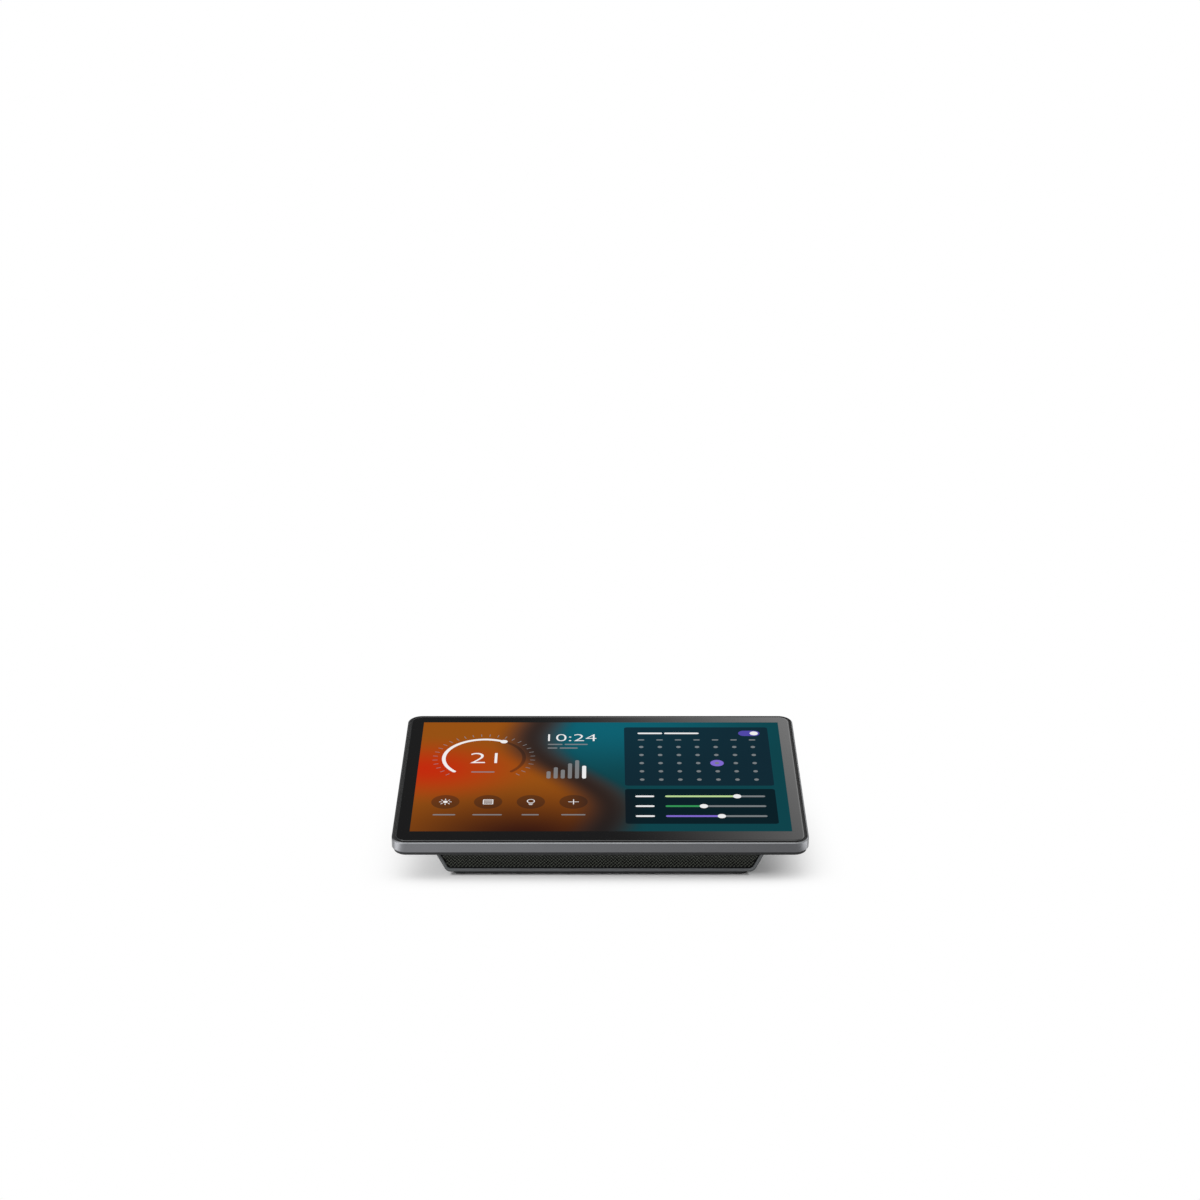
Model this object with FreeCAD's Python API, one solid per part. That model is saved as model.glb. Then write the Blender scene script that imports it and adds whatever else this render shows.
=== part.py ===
# Desk touch console: a 10.1 inch touch screen in a slim framed head, carried at a slope by a wedge base.
# The base holds two small speakers behind a woven mesh grille, the main board, a ballast plate and a
# cable bay whose rear door drops open on moulded pins. Sizes are in millimetres. The console stands on the
# XY plane, its screen faces -Y and up, and its origin is under the middle of its bounding box.
import FreeCAD, Part
import math
import os

from FreeCAD import Placement, Rotation, Vector

# Screen
display_width = 217.0
display_length = 135.6
bezel_side = 9.5
bezel_top = 9.75
bezel_bottom = 13.0
glass_thickness = 1.1
glass_stand = 0.25
glass_edge_round = 0.5
touch_thickness = 0.4
lcd_thickness = 1.0
lcd_border_side = 3.0
lcd_border_top = 2.5
lcd_border_bottom = 6.0
lcd_clearance = 0.4
tray_depth = 2.6
tray_sheet = 0.4

# Head frame and rear cover
frame_depth = 6.95
frame_wall = 1.1
frame_ledge = 1.4
frame_corner_radius = 8.5
frame_top_chamfer = 0.5
frame_bottom_chamfer = 1.0
gasket_gap = 1.3
gasket_recess = 0.4
gasket_clearance = 0.05
rear_cover_depth = 3.0
rear_cover_wall = 1.8
rear_cover_inset = 1.1
rear_cover_edge = 1.3
rear_cover_bevel = 4.0
rear_cover_softness = 0.5
cover_lip_height = 1.6
vent_slot_width = 1.8
vent_slot_length = 9.0
vent_pitch = 4.0
vent_count = 29
vent_edge_distance = 9.5
antenna_length = 32.0
antenna_width = 8.0
antenna_thickness = 0.8
antenna_x = 82.0
antenna_edge_distance = 34.0

# Stance
tilt_deg = 15.0
head_height = 16.5
fit_clearance = 0.1

# Wedge base
base_width = 175.2
base_depth = 110.0
base_setback = 15.0
side_draft_deg = 27.0
front_draft_deg = 15.6
rear_draft_deg = 4.0
base_wall = 2.2
front_wall = 2.8
deck_thickness = 2.2
base_floor = 1.6
base_corner_radius = 4.0
inner_corner_radius = 0.5
front_edge_radius = 1.0
rear_edge_radius = 2.5
plate_thickness = 1.05
plate_inset = 1.25
plate_flange = 5.0
plate_corner_radius = 3.0
foot_height = 0.85
foot_radius = 4.0
foot_recess = 0.5
foot_inset_side = 4.3
foot_inset_end = 5.5
foot_chamfer = 0.4

# Grille
trim_width = 1.8
trim_bottom = 2.0
trim_top = 1.6
trim_corner_radius = 2.6
trim_top_radius = 1.0
mesh_recess = 0.4
mesh_thickness = 0.6
backing_thickness = 0.8
sound_slot_width = 1.6
sound_slot_height = 5.4
sound_slot_pitch = 3.4
sound_slot_count = 11
sound_window_margin = 1.6

# Speakers, measured along and across their racetrack face
speaker_edge = 35.2
speaker_length = 44.0
speaker_height = 9.0
speaker_flange = 1.2
speaker_can_depth = 9.0
speaker_can_wall = 0.7
speaker_flange_rim = 0.5
speaker_seat_height = 7.0
surround_width = 0.9
surround_thickness = 0.5
surround_chamfer = 0.3
cone_thickness = 0.4
cone_gap = 0.3
cone_travel = 0.7
coil_radius = 2.0
coil_wall = 0.3
coil_length = 3.4
magnet_radius = 1.35
magnet_height = 5.4

# Cable bay and its door
bay_width = 100.0
bay_depth = 44.0
bay_wall = 2.0
port_panel_thickness = 1.6
door_height = 30.0
door_thickness = 2.0
door_edge_chamfer = 0.4
door_gap = 0.4
door_barrel_radius = 2.0
door_pin_radius = 1.2
door_pin_clearance = 0.05
door_pin_end_gap = 0.4
door_notch_width = 34.0
door_notch_height = 9.0
door_finger_radius = 7.0
door_finger_depth = 2.4
door_rib_thickness = 1.2
door_rib_depth = 1.6
door_rib_x = 34.0

# Boards and fittings inside the base
ballast_thickness = 3.0
ballast_side_gap = 5.2
ballast_depth = 40.0
ballast_corner_radius = 3.0
board_boss_gap = 0.8
board_depth = 40.0
board_thickness = 1.6
board_lift = 5.2
board_panel_gap = 1.0
board_hole_inset = 5.0
board_corner_radius = 2.0
standoff_radius = 2.8
shield_width = 34.0
shield_depth = 24.0
shield_height = 2.6
shield_sheet = 0.3
pad_width = 24.0
pad_depth = 18.0
pad_thickness = 1.0
spreader_width = 42.0
spreader_depth = 26.0
spreader_plate = 1.2
fin_height = 2.4
fin_thickness = 1.0
fin_count = 8
shield_setback = 2.0
flex_thickness = 0.25
flex_bend_radius = 2.0
flex_start = 14.0
flex_edge = 25.0
flex_window_margin = 3.0
display_flex_width = 22.0
touch_flex_width = 10.0
connector_height = 2.0
connector_depth = 4.4
connector_margin = 1.2
connector_setback = 3.8

# Sockets on the rear edge of the board
socket_proud = 0.8
socket_clearance = 0.2
jack_edge = 20.0
jack_width = 16.0
jack_height = 13.4
jack_depth = 20.0
jack_mouth_width = 11.8
jack_mouth_height = 7.0
jack_mouth_depth = 13.0
jack_mouth_rise = 3.4
jack_latch_width = 6.2
jack_latch_height = 2.0
jack_light_width = 2.6
jack_light_height = 1.5
jack_light_depth = 3.0
jack_light_edge = 0.7
jack_contact_count = 8
jack_contact_pitch = 1.02
jack_contact_width = 0.5
jack_contact_thickness = 0.6
jack_contact_length = 8.0
video_edge = 48.0
video_width = 15.2
video_height = 6.0
video_depth = 11.5
video_shell = 0.6
video_mouth_depth = 9.0
video_corner = 1.6
video_tongue_width = 10.4
video_tongue_thickness = 1.0
video_tongue_length = 6.5
accessory_edge = 26.0
accessory_width = 9.2
accessory_height = 3.5
accessory_depth = 8.5
accessory_shell = 0.35
accessory_mouth_depth = 6.8
accessory_tongue_width = 6.6
accessory_tongue_thickness = 0.7
accessory_tongue_length = 4.8
reset_edge = 9.0
reset_radius = 1.5
reset_clearance = 0.3
reset_travel = 0.6
reset_recess = 0.3
reset_collar_radius = 2.4
reset_collar_length = 0.8
reset_rise = 3.2
reset_switch_width = 6.0
reset_switch_depth = 3.6
reset_switch_height = 5.0
reset_spare = 0.1
reset_switch_setback = 6.0

# Lock slot in the rear wall
lock_edge = 15.2
lock_rise = 9.0
lock_slot_width = 3.0
lock_slot_height = 7.0
lock_plate_width = 16.0
lock_plate_height = 13.0
lock_plate_thickness = 1.5

# Screws
screw_hole_clearance = 0.3
screw_grip_clearance = 0.05
head_screw_radius = 1.2
head_screw_head_radius = 2.7
head_screw_head = 1.8
head_screw_length = 6.4
head_screw_edge = 21.2
head_screw_v_front = 30.0
head_screw_v_rear = 108.0
head_boss_radius = 3.4
head_boss_tip = 0.6
base_screw_radius = 1.2
base_screw_head_radius = 2.7
base_screw_head = 0.6
base_screw_length = 8.0
base_screw_edge = 8.2
base_screw_front = 12.0
base_screw_mid = 40.0
base_screw_rear = 30.0
base_boss_radius = 3.2
board_screw_radius = 1.0
board_screw_head_radius = 1.9
board_screw_head = 1.2
board_screw_length = 4.0

# Sizes that follow from the ones above
tilt = math.radians(tilt_deg)
side_draft = math.radians(side_draft_deg)
front_draft = math.radians(front_draft_deg)
rear_draft = math.radians(rear_draft_deg)
beyond = 400.0

head_width = display_width + 2 * bezel_side
head_length = display_length + bezel_top + bezel_bottom
glass_top = frame_depth + glass_stand
glass_bottom = glass_top - glass_thickness
touch_bottom = glass_bottom - touch_thickness
lcd_bottom = touch_bottom - lcd_thickness
tray_bottom = lcd_bottom - tray_depth
cover_back = -rear_cover_depth
cover_floor = cover_back + rear_cover_wall
deck_under = cover_back - deck_thickness
lcd_half = display_width / 2 + lcd_border_side
lcd_front = bezel_bottom - lcd_border_bottom
lcd_rear = bezel_bottom + display_length + lcd_border_top

head_reach_rear = head_length * math.cos(tilt) - frame_bottom_chamfer * math.sin(tilt)
head_reach_front = (frame_depth - frame_top_chamfer) * math.sin(tilt)
head_y = (head_reach_front - head_reach_rear) / 2
base_low = foot_height
base_split = base_low + plate_thickness
base_front = head_y + base_setback
base_rear = base_front + base_depth
bay_front = base_rear - bay_depth
panel_front = bay_front - port_panel_thickness
board_low = base_split + board_lift
board_top = board_low + board_thickness
board_rear = panel_front - board_panel_gap
board_front = board_rear - board_depth
pivot_z = base_split + door_gap + door_barrel_radius
pivot_face = base_rear + (pivot_z - base_split) * math.tan(rear_draft)
pivot_y = pivot_face - door_barrel_radius / math.cos(rear_draft)
rear_inner_face = door_barrel_radius - base_wall
jack_x = jack_edge - bay_width / 2
video_x = bay_width / 2 - video_edge
accessory_x = bay_width / 2 - accessory_edge
reset_x = bay_width / 2 - reset_edge
base_screw_x = base_width / 2 - base_screw_edge
head_screw_x = base_width / 2 - head_screw_edge
board_width = 2 * (base_screw_x - base_boss_radius - board_boss_gap)
ballast_width = 2 * (board_width / 2 - board_hole_inset - standoff_radius - ballast_side_gap)
speaker_x = base_width / 2 - speaker_edge
lock_x = base_width / 2 - lock_edge
flex_x = board_width / 2 - flex_edge
flex_w = tray_bottom - fit_clearance - flex_thickness / 2
connector_y = board_front + connector_setback
flex_v = (connector_y - head_y + flex_w * math.sin(tilt)) / math.cos(tilt)
plate_reach = base_corner_radius * math.tan((math.pi / 2 - side_draft) / 2) + plate_inset
plate_half = base_width / 2 - plate_reach
plate_front = base_front + plate_inset
plate_rear = base_rear - plate_inset
grille_depth = mesh_recess + mesh_thickness + backing_thickness
wedge_top = head_height + 2 * base_depth * math.tan(tilt)

# Frames in which the tilted pieces are drawn flat
HEAD = Placement(Vector(0, head_y, head_height), Rotation(Vector(1, 0, 0), tilt_deg))
FRONT = Placement(Vector(0, base_front, base_split), Rotation(Vector(1, 0, 0), 90 + front_draft_deg))
REAR = Placement(Vector(0, pivot_y, pivot_z), Rotation(Vector(1, 0, 0), -rear_draft_deg))


def placed(shape, placement):
    """A copy of a shape drawn in a tilted frame, put where it belongs."""
    copy = shape.copy()
    copy.Placement = placement.multiply(copy.Placement)
    return copy


def rounded_wire(corners, radii, z=0.0):
    """A closed wire through the corners, each rounded with its own radius."""
    points = [Vector(x, y, z) for x, y in corners]
    turns = []
    for i, here in enumerate(points):
        to_before = (points[i - 1] - here).normalize()
        to_after = (points[(i + 1) % len(points)] - here).normalize()
        half = to_before.getAngle(to_after) / 2
        reach = radii[i] / math.tan(half)
        inwards = (to_before + to_after).normalize()
        middle = here + inwards * (radii[i] / math.sin(half) - radii[i])
        turns.append((here + to_before * reach, middle, here + to_after * reach))
    edges = []
    for i, (start, middle, end) in enumerate(turns):
        if (end - start).Length > 1e-6:
            edges.append(Part.Arc(start, middle, end).toShape())
        following = turns[(i + 1) % len(turns)][0]
        if (following - end).Length > 1e-6:
            edges.append(Part.LineSegment(end, following).toShape())
    return Part.Wire(edges)


def prism(corners, radii, z0, z1):
    """A rounded outline raised from z0 to z1."""
    return Part.Face(rounded_wire(corners, radii, z0)).extrude(Vector(0, 0, z1 - z0))


def block(x0, x1, y0, y1, z0, z1, radius=0.0):
    """A box between these limits, with rounded upright edges where it has a radius."""
    corners = [(x0, y0), (x1, y0), (x1, y1), (x0, y1)]
    return prism(corners, [radius] * 4, z0, z1)


def cylinder(radius, start, end):
    """A round bar from one point to another."""
    return Part.makeCylinder(radius, (end - start).Length, start, end - start)


def racetrack(length, height, z0, z1):
    """A bar with half-round ends, centred on the Z axis."""
    return block(-length / 2, length / 2, -height / 2, height / 2, z0, z1, height / 2)


def edges_at(shape, z):
    """The edges of a shape that lie in the plane at this height."""
    return [e for e in shape.Edges if abs(e.BoundBox.ZMin - z) < 1e-6 and abs(e.BoundBox.ZMax - z) < 1e-6]


def head_outline(inset, z):
    """The head's outline, drawn in by inset."""
    half = head_width / 2 - inset
    rear = head_length - inset
    corners = [(-half, inset), (half, inset), (half, rear), (-half, rear)]
    return rounded_wire(corners, [max(frame_corner_radius - inset, 0.2)] * 4, z)


def head_plate(inset, z0, z1):
    """A plate with the head's outline, drawn in by inset."""
    return Part.Face(head_outline(inset, z0)).extrude(Vector(0, 0, z1 - z0))


def screen_plate(clearance, z0, z1):
    """A plate with the outline of the display module, let out by a clearance."""
    half = lcd_half + clearance
    return block(-half, half, lcd_front - clearance, lcd_rear + clearance, z0, z1)


def above_head(w):
    """Everything above a plane parallel to the screen, at height w in the head's own frame."""
    return placed(block(-beyond, beyond, -beyond, beyond, w, w + beyond), HEAD)


def head_point(v, w):
    """Where a point of the head's middle section lies in the console's frame."""
    return HEAD.multVec(Vector(0, v, w))


# Head: frame, glass, display and rear cover
def make_mid_frame():
    frame = head_plate(0, 0, frame_depth)
    frame = frame.makeChamfer(frame_top_chamfer, edges_at(frame, frame_depth))
    frame = frame.makeChamfer(frame_bottom_chamfer, edges_at(frame, 0))
    pocket = head_plate(frame_wall, glass_bottom, frame_depth + 1)
    hollow = head_plate(frame_wall, -1, glass_bottom - frame_ledge)
    window = screen_plate(lcd_clearance, -1, frame_depth)
    return frame.cut([pocket, hollow, window])


def make_cover_glass():
    glass = head_plate(frame_wall + gasket_gap, glass_bottom, glass_top)
    return glass.makeFillet(glass_edge_round, edges_at(glass, glass_top))


def make_glass_gasket():
    top = frame_depth - gasket_recess
    ring = head_plate(frame_wall + gasket_clearance, glass_bottom, top)
    return ring.cut(head_plate(frame_wall + gasket_gap - gasket_clearance, glass_bottom - 1, top + 1))


def make_backlight_tray():
    tray = screen_plate(0, tray_bottom, lcd_bottom)
    return tray.cut(screen_plate(-tray_sheet, tray_bottom + tray_sheet, lcd_bottom + 1))


def make_light_guide():
    return screen_plate(-tray_sheet - fit_clearance, tray_bottom + tray_sheet, lcd_bottom)


def head_screw_places():
    """Where the screws that hold the head to the base stand, in the head's own frame."""
    return [(x, v) for v in (head_screw_v_front, head_screw_v_rear) for x in (-head_screw_x, head_screw_x)]


def flex_windows(w0, w1):
    """Openings that the two flat cables pass through."""
    windows = []
    for x, width in ((flex_x, display_flex_width), (-flex_x, touch_flex_width)):
        half = width / 2 + flex_window_margin
        near = flex_v - flex_window_margin
        far = flex_v + flex_window_margin
        windows.append(block(x - half, x + half, near, far, w0, w1))
    return windows


def make_rear_cover():
    edge = -rear_cover_edge
    inner = rear_cover_inset + rear_cover_bevel
    bevel = Part.makeLoft([head_outline(rear_cover_inset, edge), head_outline(inner, cover_back)], True, True)
    cover = head_plate(rear_cover_inset, edge, 0).fuse(bevel).removeSplitter()
    cover = cover.makeFillet(rear_cover_softness, edges_at(cover, edge) + edges_at(cover, cover_back))
    slope = rear_cover_bevel / (rear_cover_depth - rear_cover_edge)
    inside = rear_cover_inset + slope * (edge - cover_floor) + rear_cover_wall
    lip = head_plate(frame_wall + fit_clearance, 0, cover_lip_height)
    cover = cover.fuse(lip).cut(head_plate(inside, cover_floor, cover_lip_height + 1))
    for x, v in head_screw_places():
        foot = Vector(x, v, cover_floor - rear_cover_wall / 2)
        cover = cover.fuse(cylinder(head_boss_radius, foot, Vector(x, v, tray_bottom)))
    holes = flex_windows(cover_back - 1, cover_floor + 1)
    for x, v in head_screw_places():
        top = Vector(x, v, tray_bottom - head_boss_tip)
        holes.append(cylinder(head_screw_radius + screw_grip_clearance, Vector(x, v, cover_back - 1), top))
    vent_rear = head_length - vent_edge_distance
    for i in range(vent_count):
        x = (i - (vent_count - 1) / 2) * vent_pitch
        half = vent_slot_width / 2
        holes.append(block(x - half, x + half, vent_rear - vent_slot_length, vent_rear,
                           cover_back - 1, cover_floor + 1))
    return cover.cut(holes).removeSplitter()


def make_head_screws():
    screws = []
    for x, v in head_screw_places():
        seat = Vector(x, v, deck_under)
        head = cylinder(head_screw_head_radius, Vector(x, v, deck_under - head_screw_head), seat)
        shank = cylinder(head_screw_radius, seat, Vector(x, v, deck_under + head_screw_length))
        screws.append(head.fuse(shank))
    return Part.makeCompound(screws)


def make_radio_antenna(side):
    x = side * antenna_x
    rear = head_length - antenna_edge_distance
    return block(x - antenna_length / 2, x + antenna_length / 2, rear - antenna_width, rear,
                 cover_floor, cover_floor + antenna_thickness)


def make_flex(x, width):
    """A flat cable that runs under the tray, turns down and ends on its connector."""
    half = flex_thickness / 2
    start = head_point(flex_start, flex_w)
    turn = head_point(flex_v, flex_w)
    end = Vector(0, turn.y, board_top + connector_height)
    to_start = (start - turn).normalize()
    to_end = (end - turn).normalize()
    opening = to_start.getAngle(to_end) / 2
    reach = flex_bend_radius / math.tan(opening)
    inwards = (to_start + to_end).normalize()
    middle = turn + inwards * (flex_bend_radius / math.sin(opening) - flex_bend_radius)
    bend_start = turn + to_start * reach
    bend_end = turn + to_end * reach
    run = Part.LineSegment(start, bend_start).toShape()
    bend = Part.Arc(bend_start, middle, bend_end).toShape()
    drop = Part.LineSegment(bend_end, end).toShape()
    across = Vector(1, 0, 0).cross(to_start * -1).normalize()
    path = Part.Wire([run, bend, drop])
    aside = Vector(width / 2, 0, 0)
    over = start + across * half
    under = start - across * half
    corners = [over - aside, over + aside, under + aside, under - aside]
    section = Part.makePolygon(corners + corners[:1])
    ribbon = path.makePipeShell([section], True, False)
    return ribbon.translated(Vector(x, 0, 0))


def make_connector(x, width):
    """The socket on the board that a flat cable ends in."""
    half = width / 2 + connector_margin
    near = connector_y - connector_depth / 2
    return block(x - half, x + half, near, near + connector_depth, board_top, board_top + connector_height)


# Base: wedge shell, bottom plate, feet and grille
def trough(wall, floor):
    """The base's cross-section, drawn in by its wall and floor, run from front to rear past both faces."""
    low = base_split + floor
    rise = wedge_top - base_split
    half_low = base_width / 2 + floor * math.tan(side_draft) - wall / math.cos(side_draft)
    half_high = base_width / 2 + rise * math.tan(side_draft) - wall / math.cos(side_draft)
    corners = [(-half_low, low), (half_low, low), (half_high, wedge_top), (-half_high, wedge_top)]
    radius = max(base_corner_radius - wall, inner_corner_radius)
    upright = Placement(Vector(0, 0, 0), Rotation(Vector(1, 0, 0), 90))
    return placed(prism(corners, [radius, radius, 0, 0], -beyond, beyond), upright)


def wedge(wall, front, rear, floor):
    """The drafted body of the base below the head, with its walls drawn in by these thicknesses."""
    ahead = placed(block(-beyond, beyond, -beyond, beyond, -front, beyond), FRONT)
    behind = placed(block(-beyond, beyond, door_barrel_radius - rear, beyond, -beyond, beyond), REAR)
    return trough(wall, floor).cut([ahead, behind])


def face_edges(shape, frame, normal, distance):
    """The edges of a shape that lie in a plane of a tilted frame, apart from its top edge."""
    edges = []
    for edge in shape.Edges:
        heights = [frame.inverse().multVec(vertex.Point).dot(normal) for vertex in edge.Vertexes]
        if all(abs(h - distance) < 1e-6 for h in heights) and edge.BoundBox.ZMin < wedge_top - 1:
            edges.append(edge)
    return edges


def base_body():
    """The outside of the base shell."""
    body = wedge(0, 0, 0, 0)
    body = body.makeFillet(front_edge_radius, face_edges(body, FRONT, Vector(0, 0, 1), 0))
    body = body.makeFillet(rear_edge_radius, face_edges(body, REAR, Vector(0, 1, 0), door_barrel_radius))
    return body.cut(above_head(cover_back))


def plate_block(inset, z0, z1):
    """A block with the bottom plate's outline, drawn in by inset."""
    radius = max(plate_corner_radius - inset, 0)
    half = plate_half - inset
    return block(-half, half, plate_front + inset, plate_rear - inset, z0, z1, radius)


def base_screw_places():
    """Where the screws that hold the bottom plate stand."""
    places = [(0, base_front + base_screw_front)]
    for y in (base_front + base_screw_mid, base_rear - base_screw_rear):
        places += [(-base_screw_x, y), (base_screw_x, y)]
    return places


def foot_places():
    """Where the four feet stand, named by corner."""
    x = plate_half - foot_inset_side
    near = plate_front + foot_inset_end
    far = plate_rear - foot_inset_end
    return {
        "front_left": (-x, near),
        "front_right": (x, near),
        "rear_left": (-x, far),
        "rear_right": (x, far),
    }


def board_hole_places():
    """Where the board is screwed to the bottom plate's standoffs."""
    x = board_width / 2 - board_hole_inset
    return [(side * x, y) for y in (board_front + board_hole_inset, board_rear - board_hole_inset)
            for side in (-1, 1)]


def front_top():
    """Height of the base's front face, measured up the face, where it meets the head."""
    start = -(base_front - head_y) * math.sin(tilt) + (base_split - head_height) * math.cos(tilt)
    return (cover_back - start) / math.cos(tilt - front_draft)


def grille_prism(clearance, z0, z1):
    """The grille's outline in the front face's frame, drawn in by a clearance."""
    low = trim_bottom + clearance
    high = front_top() - trim_top - clearance
    slope = math.cos(front_draft) * math.tan(side_draft)
    inset = trim_width / math.cos(side_draft) + clearance
    half_low = base_width / 2 + low * slope - inset
    half_high = base_width / 2 + high * slope - inset
    corners = [(-half_low, low), (half_low, low), (half_high, high), (-half_high, high)]
    return prism(corners, [trim_corner_radius, trim_corner_radius, trim_top_radius, trim_top_radius], z0, z1)


def sound_slots(z0, z1):
    """Upright slots in front of each speaker, in the front face's frame."""
    slots = []
    low = speaker_seat_height - sound_slot_height / 2
    for side in (-1, 1):
        for column in range(sound_slot_count):
            x = side * speaker_x + (column - (sound_slot_count - 1) / 2) * sound_slot_pitch
            half = sound_slot_width / 2
            slots.append(block(x - half, x + half, low, low + sound_slot_height, z0, z1))
    return slots


def sound_windows(z0, z1):
    """One opening in the front wall for each speaker, in the front face's frame."""
    length = speaker_length - 2 * sound_window_margin
    height = speaker_height - 2 * sound_window_margin
    opening = racetrack(length, height, z0, z1)
    return [opening.translated(Vector(side * speaker_x, speaker_seat_height, 0)) for side in (-1, 1)]


def lock_slot(y0, y1):
    """The lock slot's opening, in the rear face's frame."""
    half = lock_slot_width / 2
    low = lock_rise - lock_slot_height / 2
    return block(lock_x - half, lock_x + half, y0, y1, low, low + lock_slot_height)


def make_base_shell(body):
    cavity = wedge(base_wall, front_wall, base_wall, base_floor).cut(above_head(deck_under))
    hatch = plate_block(plate_flange, base_split - 1, base_split + base_floor + 1)
    bay_floor = block(-bay_width / 2, bay_width / 2, bay_front, beyond, -beyond, base_split + base_floor + 1)
    shell = body.cut([cavity, hatch, bay_floor])
    inner = []
    for side in (-1, 1):
        near = side * bay_width / 2
        far = side * (bay_width / 2 + bay_wall)
        inner.append(block(min(near, far), max(near, far), bay_front, base_rear + beyond, base_split,
                           wedge_top))
    for x, y in base_screw_places():
        inner.append(cylinder(base_boss_radius, Vector(x, y, base_split), Vector(x, y, wedge_top)))
    for piece in inner:
        shell = shell.fuse(piece.common(body))
    doorway = block(-bay_width / 2, bay_width / 2, rear_inner_face - 1, beyond,
                    -beyond, door_height + door_gap)
    lock = lock_slot(rear_inner_face - 1, beyond)
    cuts = [placed(doorway, REAR), placed(lock, REAR), placed(grille_prism(0, -grille_depth, beyond), FRONT)]
    cuts += [placed(window, FRONT) for window in sound_windows(-front_wall - 1, 0)]
    cuts += [placed(window, HEAD) for window in flex_windows(deck_under - 1, cover_back + 1)]
    for x, v in head_screw_places():
        hole = cylinder(head_screw_radius + screw_hole_clearance, Vector(x, v, deck_under - 1),
                        Vector(x, v, cover_back + 1))
        cuts.append(placed(hole, HEAD))
    for x, y in base_screw_places():
        end = Vector(x, y, base_low + base_screw_head + base_screw_length + 1)
        cuts.append(cylinder(base_screw_radius + screw_grip_clearance, Vector(x, y, base_split - 1), end))
    reach = bay_width / 2 + bay_wall
    cuts.append(cylinder(door_pin_radius + door_pin_clearance, Vector(-reach, pivot_y, pivot_z),
                         Vector(reach, pivot_y, pivot_z)))
    return shell.cut(cuts).removeSplitter()


def make_base_plate():
    cuts = []
    for x, y in base_screw_places():
        shank = base_screw_radius + screw_hole_clearance
        cuts.append(cylinder(shank, Vector(x, y, 0), Vector(x, y, base_split + 1)))
        sink = base_screw_head_radius + screw_hole_clearance
        cuts.append(cylinder(sink, Vector(x, y, 0), Vector(x, y, base_low + base_screw_head)))
    for x, y in foot_places().values():
        recess_top = Vector(x, y, base_low + foot_recess)
        cuts.append(cylinder(foot_radius + fit_clearance, Vector(x, y, 0), recess_top))
    return plate_block(0, base_low, base_split).cut(cuts)


def make_board_standoffs():
    standoffs = []
    for x, y in board_hole_places():
        low = Vector(x, y, base_split)
        high = Vector(x, y, board_low)
        bore = cylinder(board_screw_radius + screw_grip_clearance, low, high)
        standoffs.append(cylinder(standoff_radius, low, high).cut(bore))
    return Part.makeCompound(standoffs)


def make_foot(place):
    x, y = place
    foot = cylinder(foot_radius, Vector(x, y, 0), Vector(x, y, base_low + foot_recess))
    return foot.makeChamfer(foot_chamfer, edges_at(foot, 0))


def make_base_screws():
    screws = []
    for x, y in base_screw_places():
        seat = Vector(x, y, base_low + base_screw_head)
        head = cylinder(base_screw_head_radius, Vector(x, y, base_low), seat)
        shank = cylinder(base_screw_radius, seat, seat + Vector(0, 0, base_screw_length))
        screws.append(head.fuse(shank))
    return Part.makeCompound(screws)


def make_grille_mesh():
    return grille_prism(fit_clearance, -mesh_recess - mesh_thickness, -mesh_recess)


def make_grille_backing():
    backing = grille_prism(fit_clearance, -grille_depth, -grille_depth + backing_thickness)
    return backing.cut(sound_slots(-grille_depth - 1, 0))


# Speakers, drawn along +Z with the front wall's inner face at z = 0
def speaker_opening():
    """Length and height of the opening in a speaker's flange."""
    rim = speaker_can_wall + speaker_flange_rim
    return speaker_length - 2 * rim, speaker_height - 2 * rim


def make_speaker_basket():
    length, height = speaker_opening()
    flange = racetrack(speaker_length, speaker_height, -speaker_flange, 0)
    walls = 2 * speaker_can_wall
    can = racetrack(length + walls, height + walls, -speaker_can_depth, -speaker_flange)
    inside = racetrack(length, height, -speaker_can_depth + speaker_can_wall, 1)
    return flange.fuse(can).cut(inside).removeSplitter()


def make_speaker_magnet():
    floor = Vector(0, 0, -speaker_can_depth + speaker_can_wall)
    return cylinder(magnet_radius, floor, floor + Vector(0, 0, magnet_height))


def make_speaker_surround():
    length, height = speaker_opening()
    top = -cone_travel
    low = top - surround_thickness
    roll = racetrack(length - 2 * fit_clearance, height - 2 * fit_clearance, low, top)
    roll = roll.makeChamfer(surround_chamfer, edges_at(roll, top))
    shrink = 2 * (fit_clearance + surround_width)
    return roll.cut(racetrack(length - shrink, height - shrink, low - 1, top + 1))


def make_speaker_cone():
    length, height = speaker_opening()
    shrink = 2 * (fit_clearance + surround_width + cone_gap)
    top = -cone_travel
    low = top - cone_thickness
    dish = racetrack(length - shrink, height - shrink, low, top)
    coil = cylinder(coil_radius, Vector(0, 0, low - coil_length), Vector(0, 0, low))
    bore = cylinder(coil_radius - coil_wall, Vector(0, 0, low - coil_length - 1), Vector(0, 0, low))
    return dish.fuse(coil.cut(bore)).removeSplitter()


def speaker_placement(side):
    """Frame of the left (-1) or right (1) speaker."""
    seat = FRONT.multVec(Vector(side * speaker_x, speaker_seat_height, -front_wall))
    return Placement(seat, FRONT.Rotation)


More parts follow.
